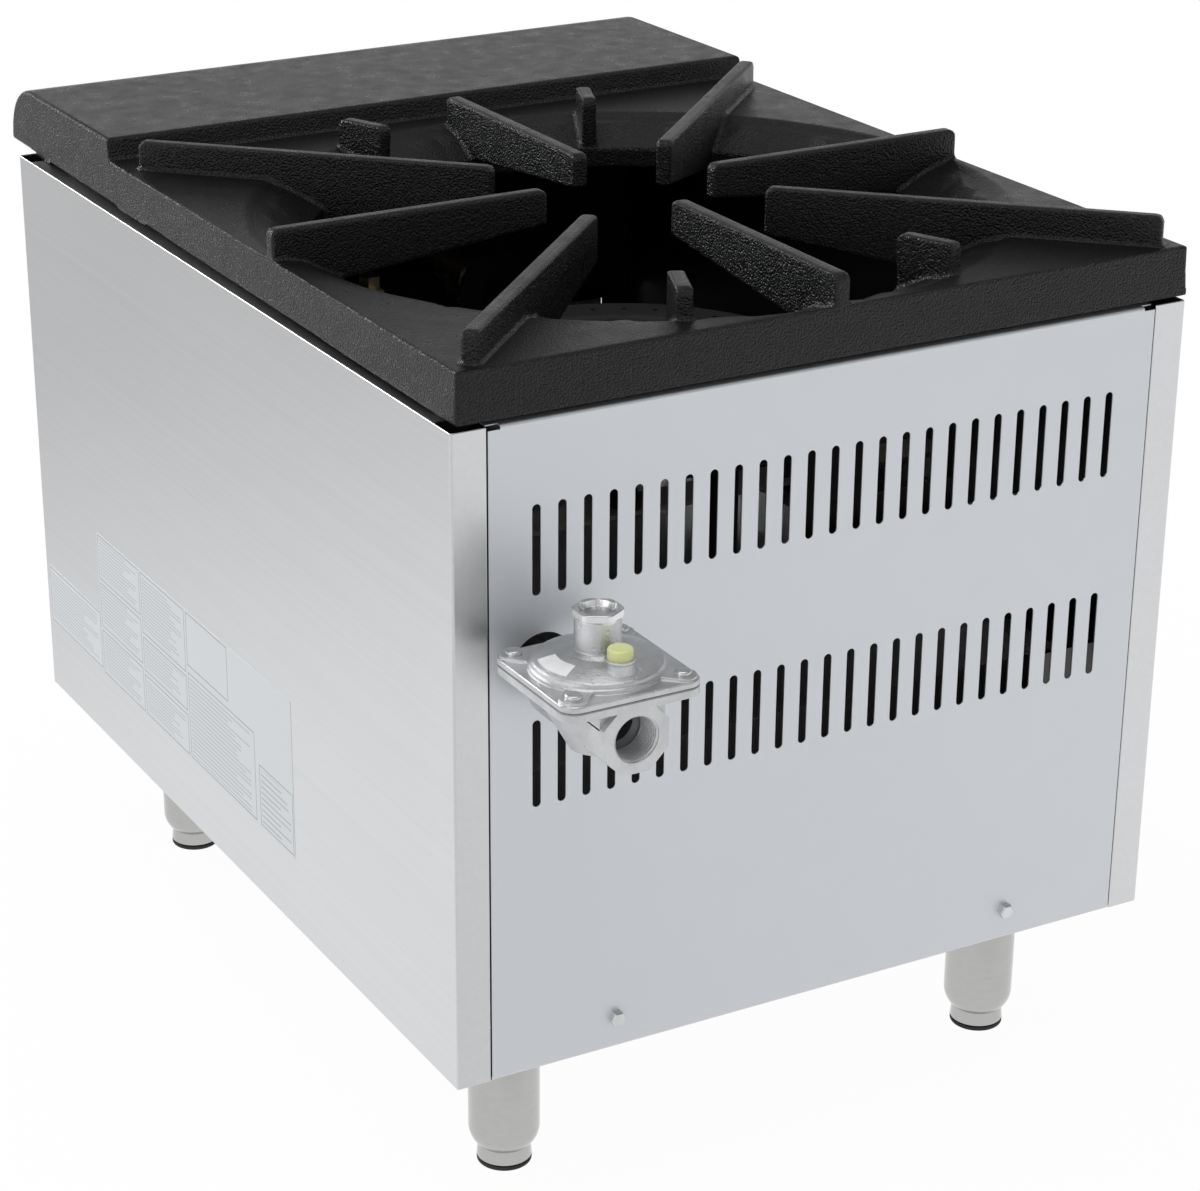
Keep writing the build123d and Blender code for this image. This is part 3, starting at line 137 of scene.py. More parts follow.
class RegulatorSettings(bpy.types.PropertyGroup):
    """The gas pressure regulator."""

    casting: colour("Casting", "the sand-cast housing", (0.62, 0.63, 0.64))
    bright: colour("Cap", "the bright cap", (0.78, 0.785, 0.79))
    plate: colour("Nameplate", "the blank nameplate", (0.80, 0.81, 0.82))
    plug: colour("Vent Plug", "the plug over the vent", (0.80, 0.77, 0.36))
    skin_step: length("Skin Step", "Size of the steps that soften the castings' edges", 0.5 * MM)
    edge: length("Edge", "Radius of the body's edges", 0.4 * MM)
    flange: length("Flange", "Thickness of the cover's flange", 3.4 * MM)
    ear_inset: length("Ear Inset", "From the flange's edge to the middle of a screw", 8.6 * MM)
    ear_radius: length("Ear Radius", "Radius of the raised pad round a screw", 7.2 * MM)
    ear_rise: length("Ear Rise", "Height of the pad over the flange", 1.6 * MM)
    disc_radius: length("Disc Radius", "Radius of the raised disc", 34.9 * MM)
    tower_radius: length("Tower Radius", "Radius of the spring's tower", 12.0 * MM)
    cap_flats: length("Cap Flats", "Width of the cap over its flats", 24.0 * MM)
    cap_height: length("Cap Height", "Height of the cap's rim over the tower", 4.0 * MM)
    cap_dish: length("Cap Dish", "Depth of the hollow in the cap", 3.2 * MM)
    vent_from_tower: length("Vent Distance", "From the tower's axis to the vent's", 22.4 * MM)
    vent_radius: length("Vent Radius", "Radius of the vent's boss", 7.7 * MM)
    bore_radius: length("Bore Radius", "Radius of the inlet's bore", 12.9 * MM)
    port_flats: length("Port Flats", "Width of the inlet's octagon over its flats", 37.2 * MM)
    collar: length("Collar", "Length of the octagon that stands free in front", 4.0 * MM)
    thread_pitch: length("Thread Pitch", "Rise of the inlet's thread in one turn", 1.814 * MM)
    thread_depth: length("Thread Depth", "Height of the inlet's thread", 1.3 * MM)
    thread_length: length("Thread Length", "How far the thread goes in", 17 * MM)


class TrimSettings(bpy.types.PropertyGroup):
    """Knobs, stickers, pads and screws."""

    knob: colour("Knob", "the knobs", (0.022, 0.022, 0.024))
    rubber: colour("Rubber", "the foot pads", (0.018, 0.018, 0.018))
    zinc: colour("Zinc", "the plated screws", (0.70, 0.705, 0.71))
    paper: colour("Sticker", "the sticker stock", (0.615, 0.645, 0.670))
    ink: colour("Rules", "the printed rules", (0.20, 0.21, 0.23))
    sticker: length("Sticker Thickness", "Thickness of a sticker", 0.12 * MM)
    rule: length("Rule", "Width of a printed frame line", 0.55 * MM)
    rule_pitch: length("Rule Pitch", "Distance between ruled lines", 2.4 * MM)


class StudioSettings(bpy.types.PropertyGroup):
    """Camera, lamps and floor."""

    camera_place: FloatVectorProperty(
        name="Camera Place", description="Where the camera stands", subtype="XYZ", unit="LENGTH",
        default=(0.8911, 1.5859, 0.9963),
    )
    camera_turn: FloatVectorProperty(
        name="Camera Turn", description="How the camera is turned", subtype="EULER", unit="ROTATION",
        default=(radians(66.736), radians(0.463), radians(152.472)),
    )
    lens: FloatProperty(
        name="Lens", description="Focal length in millimetres", default=94.83, unit="CAMERA"
    )
    shift: FloatVectorProperty(
        name="Shift", description="How far the picture is moved, as a share of its width", size=2,
        default=(0.1032, 0.0320),
    )
    floor: colour("Floor", "the floor", (0.80, 0.80, 0.80))
    ambient: FloatProperty(name="Ambient", description="Strength of the light from all round", default=0.52)
    sky: share("Sky", "How bright the studio is overhead, as metal shows it", 0.24)
    key_power: power("Key Light", "Power of the overhead lamp", 22)
    back_power: power("Rim Light", "Power of the lamp that stands before the range's front", 50)
    fill_power: power("Fill Light", "Power of the side lamp", 12)


# ------------------------------------------------------------------ shader building blocks
def feed(tree, socket, value):
    """Links a socket to the value's own socket, or sets it to a fixed value."""
    if isinstance(value, bpy.types.NodeSocket):
        tree.links.new(value, socket)
    else:
        socket.default_value = value


def put(tree, kind, inputs, **settings):
    """Adds a shader node, sets its settings, and feeds its inputs."""
    node = tree.nodes.new(kind)
    for setting, value in settings.items():
        setattr(node, setting, value)
    for label, value in inputs.items():
        feed(tree, node.inputs[label], value)
    return node


def maths(tree, operation, first, second=0.5):
    """One arithmetic step on two values."""
    return put(tree, "ShaderNodeMath", {0: first, 1: second}, operation=operation).outputs[0]


def plus(tree, first, second):
    """The sum of two values."""
    return maths(tree, "ADD", first, second)


def times(tree, first, second):
    """The product of two values."""
    return maths(tree, "MULTIPLY", first, second)


def between(tree, factor, first, second):
    """The first value, moved towards the second by a factor."""
    return plus(tree, times(tree, maths(tree, "SUBTRACT", second, first), factor), first)


def spread(tree, value, low, high, to_low=0.0, to_high=1.0):
    """Stretches a value from one range to another, and holds it there."""
    inputs = {"Value": value, "From Min": low, "From Max": high, "To Min": to_low, "To Max": to_high}
    return put(tree, "ShaderNodeMapRange", inputs).outputs["Result"]


def split(tree, vector):
    """The X, Y and Z of a vector, by name."""
    return put(tree, "ShaderNodeSeparateXYZ", {"Vector": vector}).outputs


def noise(tree, vector, scale, detail, **more):
    """A noise value; more holds further inputs of its node."""
    inputs = {"Vector": vector, "Scale": scale, "Detail": detail, **more}
    return put(tree, "ShaderNodeTexNoise", inputs).outputs["Fac"]


def rays(tree):
    """Two values: 1 for the camera's own rays, and 1 for those that metal or glass sends on."""
    path = tree.nodes.new("ShaderNodeLightPath").outputs
    return path["Is Camera Ray"], maths(tree, "MAXIMUM", path["Is Glossy Ray"], path["Is Transmission Ray"])


def group(name, given, results):
    """Starts a shader node group with the named inputs and outputs, all single values but Vector."""
    tree = bpy.data.node_groups.new(name, "ShaderNodeTree")
    for in_out, labels in (("INPUT", given), ("OUTPUT", results)):
        for label in labels:
            kind = "NodeSocketVector" if label == "Vector" else "NodeSocketFloat"
            tree.interface.new_socket(label, in_out=in_out, socket_type=kind)
    return tree, tree.nodes.new("NodeGroupInput").outputs, tree.nodes.new("NodeGroupOutput").inputs


def closed(tree, result, **values):
    """Feeds a group's outputs, and gives the group."""
    for label, value in values.items():
        tree.links.new(value, result[label.title()])
    return tree


def pebble_skin():
    """Group: rounded pebbles of a sand-cast skin under a thick coat, over a slow swell."""
    tree, given, result = group("Pebble Skin", ("Vector", "Size"), ("Height", "Fine", "Tone"))
    scale = maths(tree, "DIVIDE", 1.0, given["Size"])
    cells = put(
        tree, "ShaderNodeTexVoronoi",
        {"Vector": given["Vector"], "Scale": scale, "Smoothness": 0.35, "Randomness": 1.0},
        feature="SMOOTH_F1",
    )
    crumbs, fine, swell = (
        noise(tree, given["Vector"], times(tree, scale, finer), 2.0) for finer in (1.2, 1.3, 0.09)
    )
    pebbles = maths(tree, "SUBTRACT", 1.0, cells.outputs["Distance"])
    return closed(tree, result, height=plus(tree, pebbles, times(tree, crumbs, 0.7)), fine=fine, tone=swell)


def brush_lines():
    """Group: long fine scratches along X of the given vector, as a belt leaves on sheet and tube."""
    tree, given, result = group("Brush Lines", ("Vector", "Width", "Length"), ("Height", "Tone"))
    across, along = (maths(tree, "DIVIDE", 1.0, given[label]) for label in ("Width", "Length"))
    scale = put(tree, "ShaderNodeCombineXYZ", {"X": along, "Y": across, "Z": across}).outputs["Vector"]
    stretched = put(
        tree, "ShaderNodeVectorMath", {0: given["Vector"], 1: scale}, operation="MULTIPLY"
    ).outputs["Vector"]
    lines = noise(tree, stretched, 1.0, 3.0, Roughness=0.6)
    return closed(tree, result, height=lines, tone=noise(tree, stretched, 0.12, 2.0))


def sand_grain():
    """Group: the fine gritty face of a casting, with sparse shallow pits."""
    tree, given, result = group("Sand Grain", ("Vector", "Size"), ("Height", "Tone"))
    scale = maths(tree, "DIVIDE", 1.0, given["Size"])
    grit = noise(tree, given["Vector"], scale, 4.0)
    patches = noise(tree, given["Vector"], times(tree, scale, 0.05), 3.0)
    pits = put(
        tree, "ShaderNodeTexVoronoi", {"Vector": given["Vector"], "Scale": times(tree, scale, 0.22)}
    )
    dent = spread(tree, pits.outputs["Distance"], 0.0, 0.25)
    return closed(tree, result, height=plus(tree, grit, dent), tone=patches)


def slow_mottle():
    """Group: wide soft clouds, for handling marks and uneven film."""
    tree, given, result = group("Slow Mottle", ("Vector", "Size"), ("Tone",))
    scale = maths(tree, "DIVIDE", 1.0, given["Size"])
    return closed(tree, result, tone=noise(tree, given["Vector"], scale, 3.0, Distortion=0.4))


def inside_body():
    """Group: 1 on faces inside the body, up to half a sheet's thickness into its walls."""
    labels = ("Vector", "Half Width", "Front", "Rear", "Head")
    tree, given, result = group("Inside Body", labels, ("Mask",))
    place = split(tree, given["Vector"])
    mask = maths(tree, "LESS_THAN", maths(tree, "ABSOLUTE", place["X"]), given["Half Width"])
    for operation, axis, edge in (
        ("GREATER_THAN", "Y", "Front"), ("LESS_THAN", "Y", "Rear"), ("LESS_THAN", "Z", "Head"),
    ):
        mask = times(tree, mask, maths(tree, operation, place[axis], given[edge]))
    return closed(tree, result, mask=mask)


def ruled_box():
    """Group: a printed frame from left to right and foot to head, with ruled lines of uneven length."""
    gap_share, box_seed, margin_lines, rule_ink = 0.7, 97.0, 4.0, 0.5
    labels = ("Across", "Up", "Left", "Right", "Foot", "Head", "Line", "Pitch")
    tree, given, result = group("Ruled Box", labels, ("Mask",))
    from_left, from_right, from_foot, from_head = (
        maths(tree, "SUBTRACT", given[end], given[start])
        for end, start in (("Across", "Left"), ("Right", "Across"), ("Up", "Foot"), ("Head", "Up"))
    )
    sides = maths(tree, "MINIMUM", from_left, from_right)
    depth = maths(tree, "MINIMUM", sides, maths(tree, "MINIMUM", from_foot, from_head))
    printed = maths(tree, "GREATER_THAN", depth, 0.0)
    line = times(tree, printed, maths(tree, "LESS_THAN", depth, given["Line"]))
    count = maths(tree, "DIVIDE", from_foot, given["Pitch"])
    drawn = maths(tree, "GREATER_THAN", maths(tree, "FRACT", count), gap_share)
    number = plus(tree, maths(tree, "FLOOR", count), times(tree, given["Left"], box_seed))
    uneven = put(tree, "ShaderNodeTexWhiteNoise", {"W": number}, noise_dimensions="1D").outputs["Value"]
    width = plus(tree, from_left, from_right)
    end = times(tree, width, spread(tree, uneven, 0.0, 0.6, 0.6, 0.93))
    short = maths(tree, "LESS_THAN", from_left, end)
    margin = maths(tree, "GREATER_THAN", depth, times(tree, given["Line"], margin_lines))
    rules = times(tree, times(tree, drawn, short), times(tree, margin, rule_ink))
    return closed(tree, result, mask=maths(tree, "MAXIMUM", line, rules))


GROUPS = {}


def placed(tree, builder, **inputs):
    """Places a shared group in a material, building the group the first time it is wanted."""
    if builder not in GROUPS:
        GROUPS[builder] = builder()
    node = tree.nodes.new("ShaderNodeGroup")
    node.node_tree = GROUPS[builder]
    for label, value in inputs.items():
        feed(tree, node.inputs[label.replace("_", " ").title()], value)
    return node.outputs


def start_finish(name, base, roughness, metallic=0.0, **sockets):
    """Starts a material. Gives its tree, its Principled shader and the object's own coordinates."""
    material = bpy.data.materials.new(name)
    material.use_nodes = True
    tree = material.node_tree
    shader = tree.nodes["Principled BSDF"]
    shader.inputs["Base Color"].default_value = (*base, 1)
    shader.inputs["Roughness"].default_value = roughness
    shader.inputs["Metallic"].default_value = metallic
    for socket, value in sockets.items():
        shader.inputs[socket.replace("_", " ").title().replace("Ior", "IOR")].default_value = value
    coords = tree.nodes.new("ShaderNodeTexCoord").outputs["Object"]
    return material, tree, shader, coords


def colour_mix(tree, factor, first, second, blend="MIX"):
    """Mixes two colours by a factor; each is a socket or a fixed colour."""
    mixed = put(tree, "ShaderNodeMix", {"Factor": factor}, data_type="RGBA", blend_type=blend)
    # a Mix node keeps one pair of sockets for each data type, so the colour pair is found by type
    pair = [socket for socket in mixed.inputs if socket.type == "RGBA"]
    for socket, value in zip(pair, (first, second)):
        linked = isinstance(value, bpy.types.NodeSocket)
        feed(tree, socket, value if linked else (*value, 1))
    return next(socket for socket in mixed.outputs if socket.type == "RGBA")


def tint(tree, shader, tone, base, darker, lighter):
    """Feeds Base Color with the base colour, made a little darker or lighter by a tone from 0 to 1."""
    factor = spread(tree, tone, 0.3, 0.7, darker, lighter)
    grey = put(tree, "ShaderNodeCombineColor", {0: factor, 1: factor, 2: factor}).outputs[0]
    mixed = colour_mix(tree, 1.0, base, grey, "MULTIPLY")
    tree.links.new(mixed, shader.inputs["Base Color"])
    return mixed


def bump(tree, shader, height, distance):
    """Feeds Normal with a bump of the given depth."""
    node = put(tree, "ShaderNodeBump", {"Height": height, "Distance": distance})
    tree.links.new(node.outputs["Normal"], shader.inputs["Normal"])


def roughen(tree, shader, tone, low, high):
    """Feeds Roughness with a tone stretched from low to high."""
    tree.links.new(spread(tree, tone, 0.3, 0.7, low, high), shader.inputs["Roughness"])


# ------------------------------------------------------------------ finishes
def cast_black(settings):
    """Black coated cast iron: pebbled on every upright face, with a finer grain on level ones."""
    rough = settings.roughness
    material, tree, shader, coords = start_finish(
        "cast_black", settings.colour, rough, specular_ior_level=settings.shine
    )
    skin = placed(tree, pebble_skin, vector=coords, size=settings.pebble)
    facing = tree.nodes.new("ShaderNodeTexCoord").outputs["Normal"]
    level = spread(tree, split(tree, facing)["Z"], 0.80, 0.96)
    upright = maths(tree, "SUBTRACT", 1.0, level)
    coarse_share = plus(tree, times(tree, upright, 0.8), 0.2)
    fine_share = plus(tree, times(tree, level, 0.30), 0.35)
    coarse = times(tree, skin["Height"], coarse_share)
    bump(tree, shader, plus(tree, coarse, times(tree, skin["Fine"], fine_share)), settings.pebble_depth)
    # painted shade and highlight: the pebbles' hollows are darker and their tops lighter, following the
    # bumps' height
    tint(tree, shader, skin["Height"], settings.colour, 0.75, 1.25)
    roughen(tree, shader, skin["Tone"], rough - 0.05, rough + 0.06)
    return material


def paint_inside_shade(tree, shader, coords, face, settings, metallic=1.0):
    """Turns the faces that look into the body into dull, nearly black sheet: painted shade."""
    low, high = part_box("side_panel_right")
    half_sheet = settings.sheet / 2
    mask = placed(
        tree, inside_body, vector=coords, half_width=high.x - half_sheet, front=low.y + half_sheet,
        rear=high.y - half_sheet, head=high.z - half_sheet,
    )["Mask"]
    # painted shade: inside the body the sheet takes the dark colour and loses its metal
    tree.links.new(colour_mix(tree, mask, face, settings.inside), shader.inputs["Base Color"])
    tree.links.new(spread(tree, mask, 0.0, 1.0, metallic, 0.0), shader.inputs["Metallic"])


def brushed_sheet(name, base, settings, turn=(0, 0, 0), rough=0.0, hollow=False):
    """Stainless sheet or tube, brushed along X after the given turn of its coordinates."""
    roughness = settings.roughness + rough
    material, tree, shader, coords = start_finish(name, base, roughness, 1.0)
    mapped = put(tree, "ShaderNodeMapping", {"Vector": coords, "Rotation": turn}).outputs["Vector"]
    lines = placed(
        tree, brush_lines, vector=mapped, width=settings.brush_width, length=settings.brush_length
    )
    clouds = placed(tree, slow_mottle, vector=coords, size=0.16)
    face = tint(tree, shader, lines["Tone"], base, 0.98, 1.015)
    # painted shade on the faces inside the body
    if hollow:
        paint_inside_shade(tree, shader, coords, face, settings)
    blend = plus(tree, times(tree, lines["Height"], 0.4), times(tree, clouds["Tone"], 0.6))
    roughen(tree, shader, blend, roughness - 0.04, roughness + 0.05)
    bump(tree, shader, lines["Height"], 0.012 * MM)
    return material


def matt_sheet(name, base, settings, rough=0.46):
    """Aluminised sheet: matt, with a faint fine sparkle."""
    material, tree, shader, coords = start_finish(name, base, rough, 1.0)
    grain = placed(tree, sand_grain, vector=coords, size=1.0 * MM)
    face = tint(tree, shader, grain["Height"], base, 0.985, 1.01)
    # painted shade on the faces inside the body
    paint_inside_shade(tree, shader, coords, face, settings, settings.matt_metallic)
    roughen(tree, shader, grain["Tone"], rough - 0.01, rough + 0.02)
    bump(tree, shader, grain["Height"], 0.014 * MM)
    return material


def grained(name, base, metallic, rough, grain_size, depth, tones, swing, **sockets):
    """A gritty face; its grain also makes the tone and the dullness a little uneven."""
    material, tree, shader, coords = start_finish(name, base, rough, metallic, **sockets)
    grain = placed(tree, sand_grain, vector=coords, size=grain_size)
    tint(tree, shader, grain["Tone"], base, *tones)
    roughen(tree, shader, grain["Tone"], rough - swing[0], rough + swing[1])
    bump(tree, shader, grain["Height"], depth)
    return material


def raw_casting(name, base, metallic, rough, grain_size, depth):
    """A sand or die casting with a gritty face and cloudy tone."""
    return grained(name, base, metallic, rough, grain_size, depth, (0.84, 1.14), (0.06, 0.08))


def plain_metal(name, base, rough):
    """Plated, drawn or turned metal with a light tool grain."""
    return grained(name, base, 1.0, rough, 0.6 * MM, 0.01 * MM, (0.92, 1.05), (0.05, 0.07))


def moulded(name, base, rough, depth=0.02 * MM, **sockets):
    """Plastic, rubber or gasket sheet with a fine moulded texture."""
    return grained(name, base, 0.0, rough, 0.7 * MM, depth, (0.9, 1.1), (0.05, 0.06), **sockets)


def blank_form(name, settings, boxes):
    """Sticker stock with printed frames and ruled lines, and no lettering. The boxes are in Y and Z."""
    material, tree, shader, coords = start_finish(name, settings.paper, 0.38)
    place = split(tree, coords)
    mask = 0.0
    for left, right, foot, head, pitch in boxes:
        box = placed(
            tree, ruled_box, across=place["Y"], up=place["Z"], left=left, right=right, foot=foot, head=head,
            line=settings.rule, pitch=pitch,
        )
        mask = maths(tree, "MAXIMUM", box["Mask"], mask)
    clouds = placed(tree, slow_mottle, vector=coords, size=0.05)
    paper = tint(tree, shader, clouds["Tone"], settings.paper, 0.99, 1.01)
    tree.links.new(colour_mix(tree, mask, paper, settings.ink), shader.inputs["Base Color"])
    roughen(tree, shader, clouds["Tone"], 0.34, 0.44)
    return material


# ------------------------------------------------------------------ mesh building blocks
def wear(material, *nodes):
    """Gives nodes of the frame their finish."""
    for node in nodes:
        data = NODES[node].data
        data.materials.clear()
        data.materials.append(material)


def added(name, data, material, slot, body=FRAME_BODY):
    """Puts a mesh in the scene, and sets its finish and the body it rides on. The slot is not used."""
    data.materials.append(material)
    made = bpy.data.objects.new(name, data)
    bpy.context.scene.collection.objects.link(made)
    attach(made, body)
    return made


@contextmanager
def editing(data):
    """Opens a mesh for editing, and writes back what was done to it."""
    shape = bmesh.new()
    shape.from_mesh(data)
    yield shape
    shape.to_mesh(data)
    shape.free()


def shell(points, faces, name="shell"):
    """A mesh of its own from points and faces."""
    data = bpy.data.meshes.new(name)
    data.from_pydata(np.asarray(points).reshape(-1, 3).tolist(), [], faces)
    return data


def piece(name, points, faces, material, slot, smooth=False):
    """Makes an object from points and faces, with doubled points joined and its faces turned outwards."""
    data = shell(points, faces, name)
    data.validate()
    data.polygons.foreach_set("use_smooth", [smooth] * len(data.polygons))
    with editing(data) as shape:
        bmesh.ops.remove_doubles(shape, verts=shape.verts, dist=0.0001 * MM)
        bmesh.ops.recalc_face_normals(shape, faces=shape.faces)
    return added(name, data, material, slot)


def grid_faces(rows, columns, wrap_rows=False, wrap_columns=False):
    """Four-sided faces over a grid of points, numbered row by row."""
    row = np.arange(rows if wrap_rows else rows - 1)
    column = np.arange(columns if wrap_columns else columns - 1)
    r, c = np.meshgrid(row, column, indexing="ij")
    r_next, c_next = (r + 1) % rows, (c + 1) % columns
    corners = (r * columns + c, r * columns + c_next, r_next * columns + c_next, r_next * columns + c)
    return np.stack([corner.ravel() for corner in corners], axis=1).tolist()


def turned(profile, centre):
    """A closed solid of revolution about the upright through the centre; profile is (radius, height)."""
    angle = np.linspace(0, 2 * pi, ROUND_STEPS, endpoint=False)
    radius, height = np.array(profile).T
    x = centre[0] + np.outer(radius, np.cos(angle))
    y = centre[1] + np.outer(radius, np.sin(angle))
    points = np.stack([x, y, np.repeat(height[:, None], ROUND_STEPS, axis=1)], axis=-1)
    return closed_rings(points)


def prism(outline, start, end):
    """A closed solid that carries a level outline of (x, y) from one height to another."""
    outline = np.asarray(outline)
    rings = [np.column_stack([outline, np.full(len(outline), height)]) for height in (start, end)]
    return closed_rings(np.stack(rings))


def closed_rings(points):
    """Faces over a stack of rings, with a fan to a middle point over each end ring."""
    rows, columns = points.shape[:2]
    faces = grid_faces(rows, columns, wrap_columns=True)
    foot, head = rows * columns, rows * columns + 1
    last = (rows - 1) * columns
    for column in range(columns):
        after = (column + 1) % columns
        faces.append([after, column, foot])
        faces.append([last + column, last + after, head])
    middles = [points[0].mean(axis=0), points[-1].mean(axis=0)]
    return shell(np.vstack([points.reshape(-1, 3), middles]), faces)


def own_copy(nodes, name, material, slot, shells=(), moves=None, body=FRAME_BODY):
    """One merged copy of frame nodes and added shells, which stands for the nodes and can be softened.

    Moves gives, for a node, the function that shifts its points before it is joined to the others.
    """
    data = bpy.data.meshes.new(name)
    with editing(data) as shape:
        for source in (*nodes, *shells):
            known = len(shape.verts)
            shape.from_mesh(NODES[source].data if isinstance(source, str) else source)
            fresh = list(shape.verts)[known:]
            if moves and source in moves:
                for vertex in fresh:
                    vertex.co = moves[source](vertex.co)
            bmesh.ops.remove_doubles(shape, verts=fresh, dist=0.001 * MM)
        bmesh.ops.recalc_face_normals(shape, faces=shape.faces)
    made = added(name, data, material, slot, body)
    if nodes:
        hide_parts(*nodes)
    return made


def apply_modifiers(made):
    """Replaces an object's mesh with what its modifiers make of it."""
    bpy.context.view_layer.update()
    graph = bpy.context.evaluated_depsgraph_get()
    final = bpy.data.meshes.new_from_object(made.evaluated_get(graph))
    made.modifiers.clear()
    made.data = final


def soften_casting(made, voxel, rounds, turn=1.5):
    """Rebuilds a casting as an even skin, smooths it so that every edge and corner is rounded, and joins
    the faces that still lie flat."""
    skin = made.modifiers.new("skin", "REMESH")
    skin.mode = "VOXEL"
    skin.voxel_size = voxel
    skin.use_smooth_shade = True
    calm = made.modifiers.new("calm", "SMOOTH")
    calm.factor = 0.5
    calm.iterations = rounds
    flat = made.modifiers.new("flat", "DECIMATE")
    flat.decimate_type = "DISSOLVE"
    flat.angle_limit = radians(turn)
    even = made.modifiers.new("even", "WEIGHTED_NORMAL")
    even.mode = "FACE_AREA"
    apply_modifiers(made)


def soften_edges(made, width):
    """Rounds the sharp edges of a merged copy by a small width."""
    flat, sharp = radians(0.5), radians(32)
    with editing(made.data) as shape:
        bmesh.ops.dissolve_limit(shape, angle_limit=flat, verts=shape.verts, edges=shape.edges)
    round_over = made.modifiers.new("edges", "BEVEL")
    round_over.width = width
    round_over.segments = 2
    round_over.limit_method = "ANGLE"
    round_over.angle_limit = sharp
    made.data.polygons.foreach_set("use_smooth", [True] * len(made.data.polygons))
    even = made.modifiers.new("even", "WEIGHTED_NORMAL")
    even.keep_sharp = True
    apply_modifiers(made)


def plate(name, low, high, corner, thickness, material, slot):
    """A thin upright plate on a +X face: a rounded rectangle in Y and Z, carried along X.

    The outline is low to high in Y and Z with quarter circles of the corner radius; the rings of the
    grid are the back edge, the front edge and the middle.
    """
    steps = np.linspace(0, pi / 2, 6)  # six points to a corner
    y_low, z_low = low[1] + corner, low[2] + corner
    y_high, z_high = high[1] - corner, high[2] - corner
    middles = ((y_high, z_high, 0), (y_low, z_high, 1), (y_low, z_low, 2), (y_high, z_low, 3))
    outline = np.concatenate([
        np.stack([y + corner * np.cos(steps + q * pi / 2), z + corner * np.sin(steps + q * pi / 2)], axis=1)
        for y, z, q in middles
    ])
    middle = np.array([(low[1] + high[1]) / 2, (low[2] + high[2]) / 2])
    back, front = low[0], low[0] + thickness
    rings = ((back, outline), (front, outline), (front, np.tile(middle, (len(outline), 1))))
    points = np.stack([np.column_stack([np.full(len(ring), x), ring]) for x, ring in rings])
    faces = grid_faces(len(rings), len(outline), wrap_columns=True)
    return piece(name, points, faces, material, slot)


# ------------------------------------------------------------------ operators
class RANGE_OT_cast_top(bpy.types.Operator):
    """Joins the cast top and its fingers in one soft skin, and coats it"""

    bl_idname = "range.cast_top"
    bl_label = "Cast Top"

    def execute(self, context):
        settings = context.scene.range_cast_top
        low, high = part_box("cast_top")
        middle = Vector(((low.x + high.x) / 2, high.y - settings.rear_margin - settings.dish_radius))
        deck_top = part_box("grate_fingers")[1].z - settings.finger_rise
        near, outward_share = 0.2 * MM, 0.7

        def sink_feet(point):
            """Moves a foot point of a finger down into the deck, and away from the throat's edge."""
            arm = Vector((point.x, point.y)) - middle
            if point.z > deck_top + near or arm.length < settings.throat_radius - 2 * near:
                return point
            at_throat = arm.length < settings.throat_radius + settings.sink
            outward = arm.normalized() * (settings.sink * outward_share if at_throat else 0.0)
            return Vector((point.x + outward.x, point.y + outward.y, point.z - settings.sink))

        made = own_copy(
            ("cast_top", "grate_fingers"), "cast_top_skin", cast_black(settings), "cast_top_black",
            moves={"grate_fingers": sink_feet}, body="cast_top",
        )
        soften_casting(made, settings.voxel, settings.softening)
        return {"FINISHED"}


class RANGE_OT_sheet_metal(bpy.types.Operator):
    """Finishes the body's panels, rails and drip tray"""

    bl_idname = "range.sheet_metal"
    bl_label = "Sheet Metal"

    def execute(self, context):
        settings = context.scene.range_sheet
        side = brushed_sheet(
            "stainless_sheet", settings.stainless, settings, (0, 0, radians(90)), hollow=True
        )
        front = brushed_sheet("stainless_front", settings.stainless, settings, hollow=True)
        rear = matt_sheet("rear_sheet", settings.matt, settings)
        # painted shade: a darker copy of the rear sheet for the rails and runners under the body
        shaded_copy = matt_sheet("shaded_rear_sheet", [0.8 * c for c in settings.matt], settings, 0.5)
        strap = plain_metal("burner_strap", (0.30, 0.29, 0.28), 0.5)
        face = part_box("side_panel_right")[1].x - context.scene.range_trim.sticker

        def below_stickers(point):
            """Holds the outer face back by a sticker's thickness, so that the stickers end where it was."""
            return Vector((min(point.x, face), point.y, point.z))

        for node in ("side_panel_left", "side_panel_right"):
            made = own_copy(
                (node,), f"{node}_skin", side, "stainless", moves={"side_panel_right": below_stickers}
            )
            soften_edges(made, settings.bend)
        self.seam_strips(settings, side)
        soften_edges(own_copy(("rear_panel",), "rear_panel_skin", rear, "aluminised_sheet"), settings.edge)
        wear(front, "lower_front_panel", "control_panel")
        wear(brushed_sheet("tray_sheet", settings.stainless, settings), "drip_tray")
        wear(rear, "rear_stiffener")
        wear(shaded_copy, "base_rail_front", "base_rail_rear", "tray_runner_left", "tray_runner_right")
        wear(strap, "burner_rail_front", "burner_rail_middle", "burner_rail_rear")
        return {"FINISHED"}

    def seam_strips(self, settings, material):
        """A narrow strip behind each front corner's seam, as high as the control panel."""
        low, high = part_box("control_panel")
        reach = 5 * MM
        near, far = 0.1, 0.6  # behind the sheet's inner face, as shares of its thickness
        for side, x in (("left", low.x), ("right", high.x)):
            outline = [
                (x + step * reach, low.y + (1 + rise) * settings.sheet)
                for step, rise in ((-1, near), (1, near), (1, far), (-1, far))
            ]
            strip = prism(outline, low.z, high.z - settings.sheet)
            own_copy((), f"seam_strip_{side}", material, "stainless", [strip])


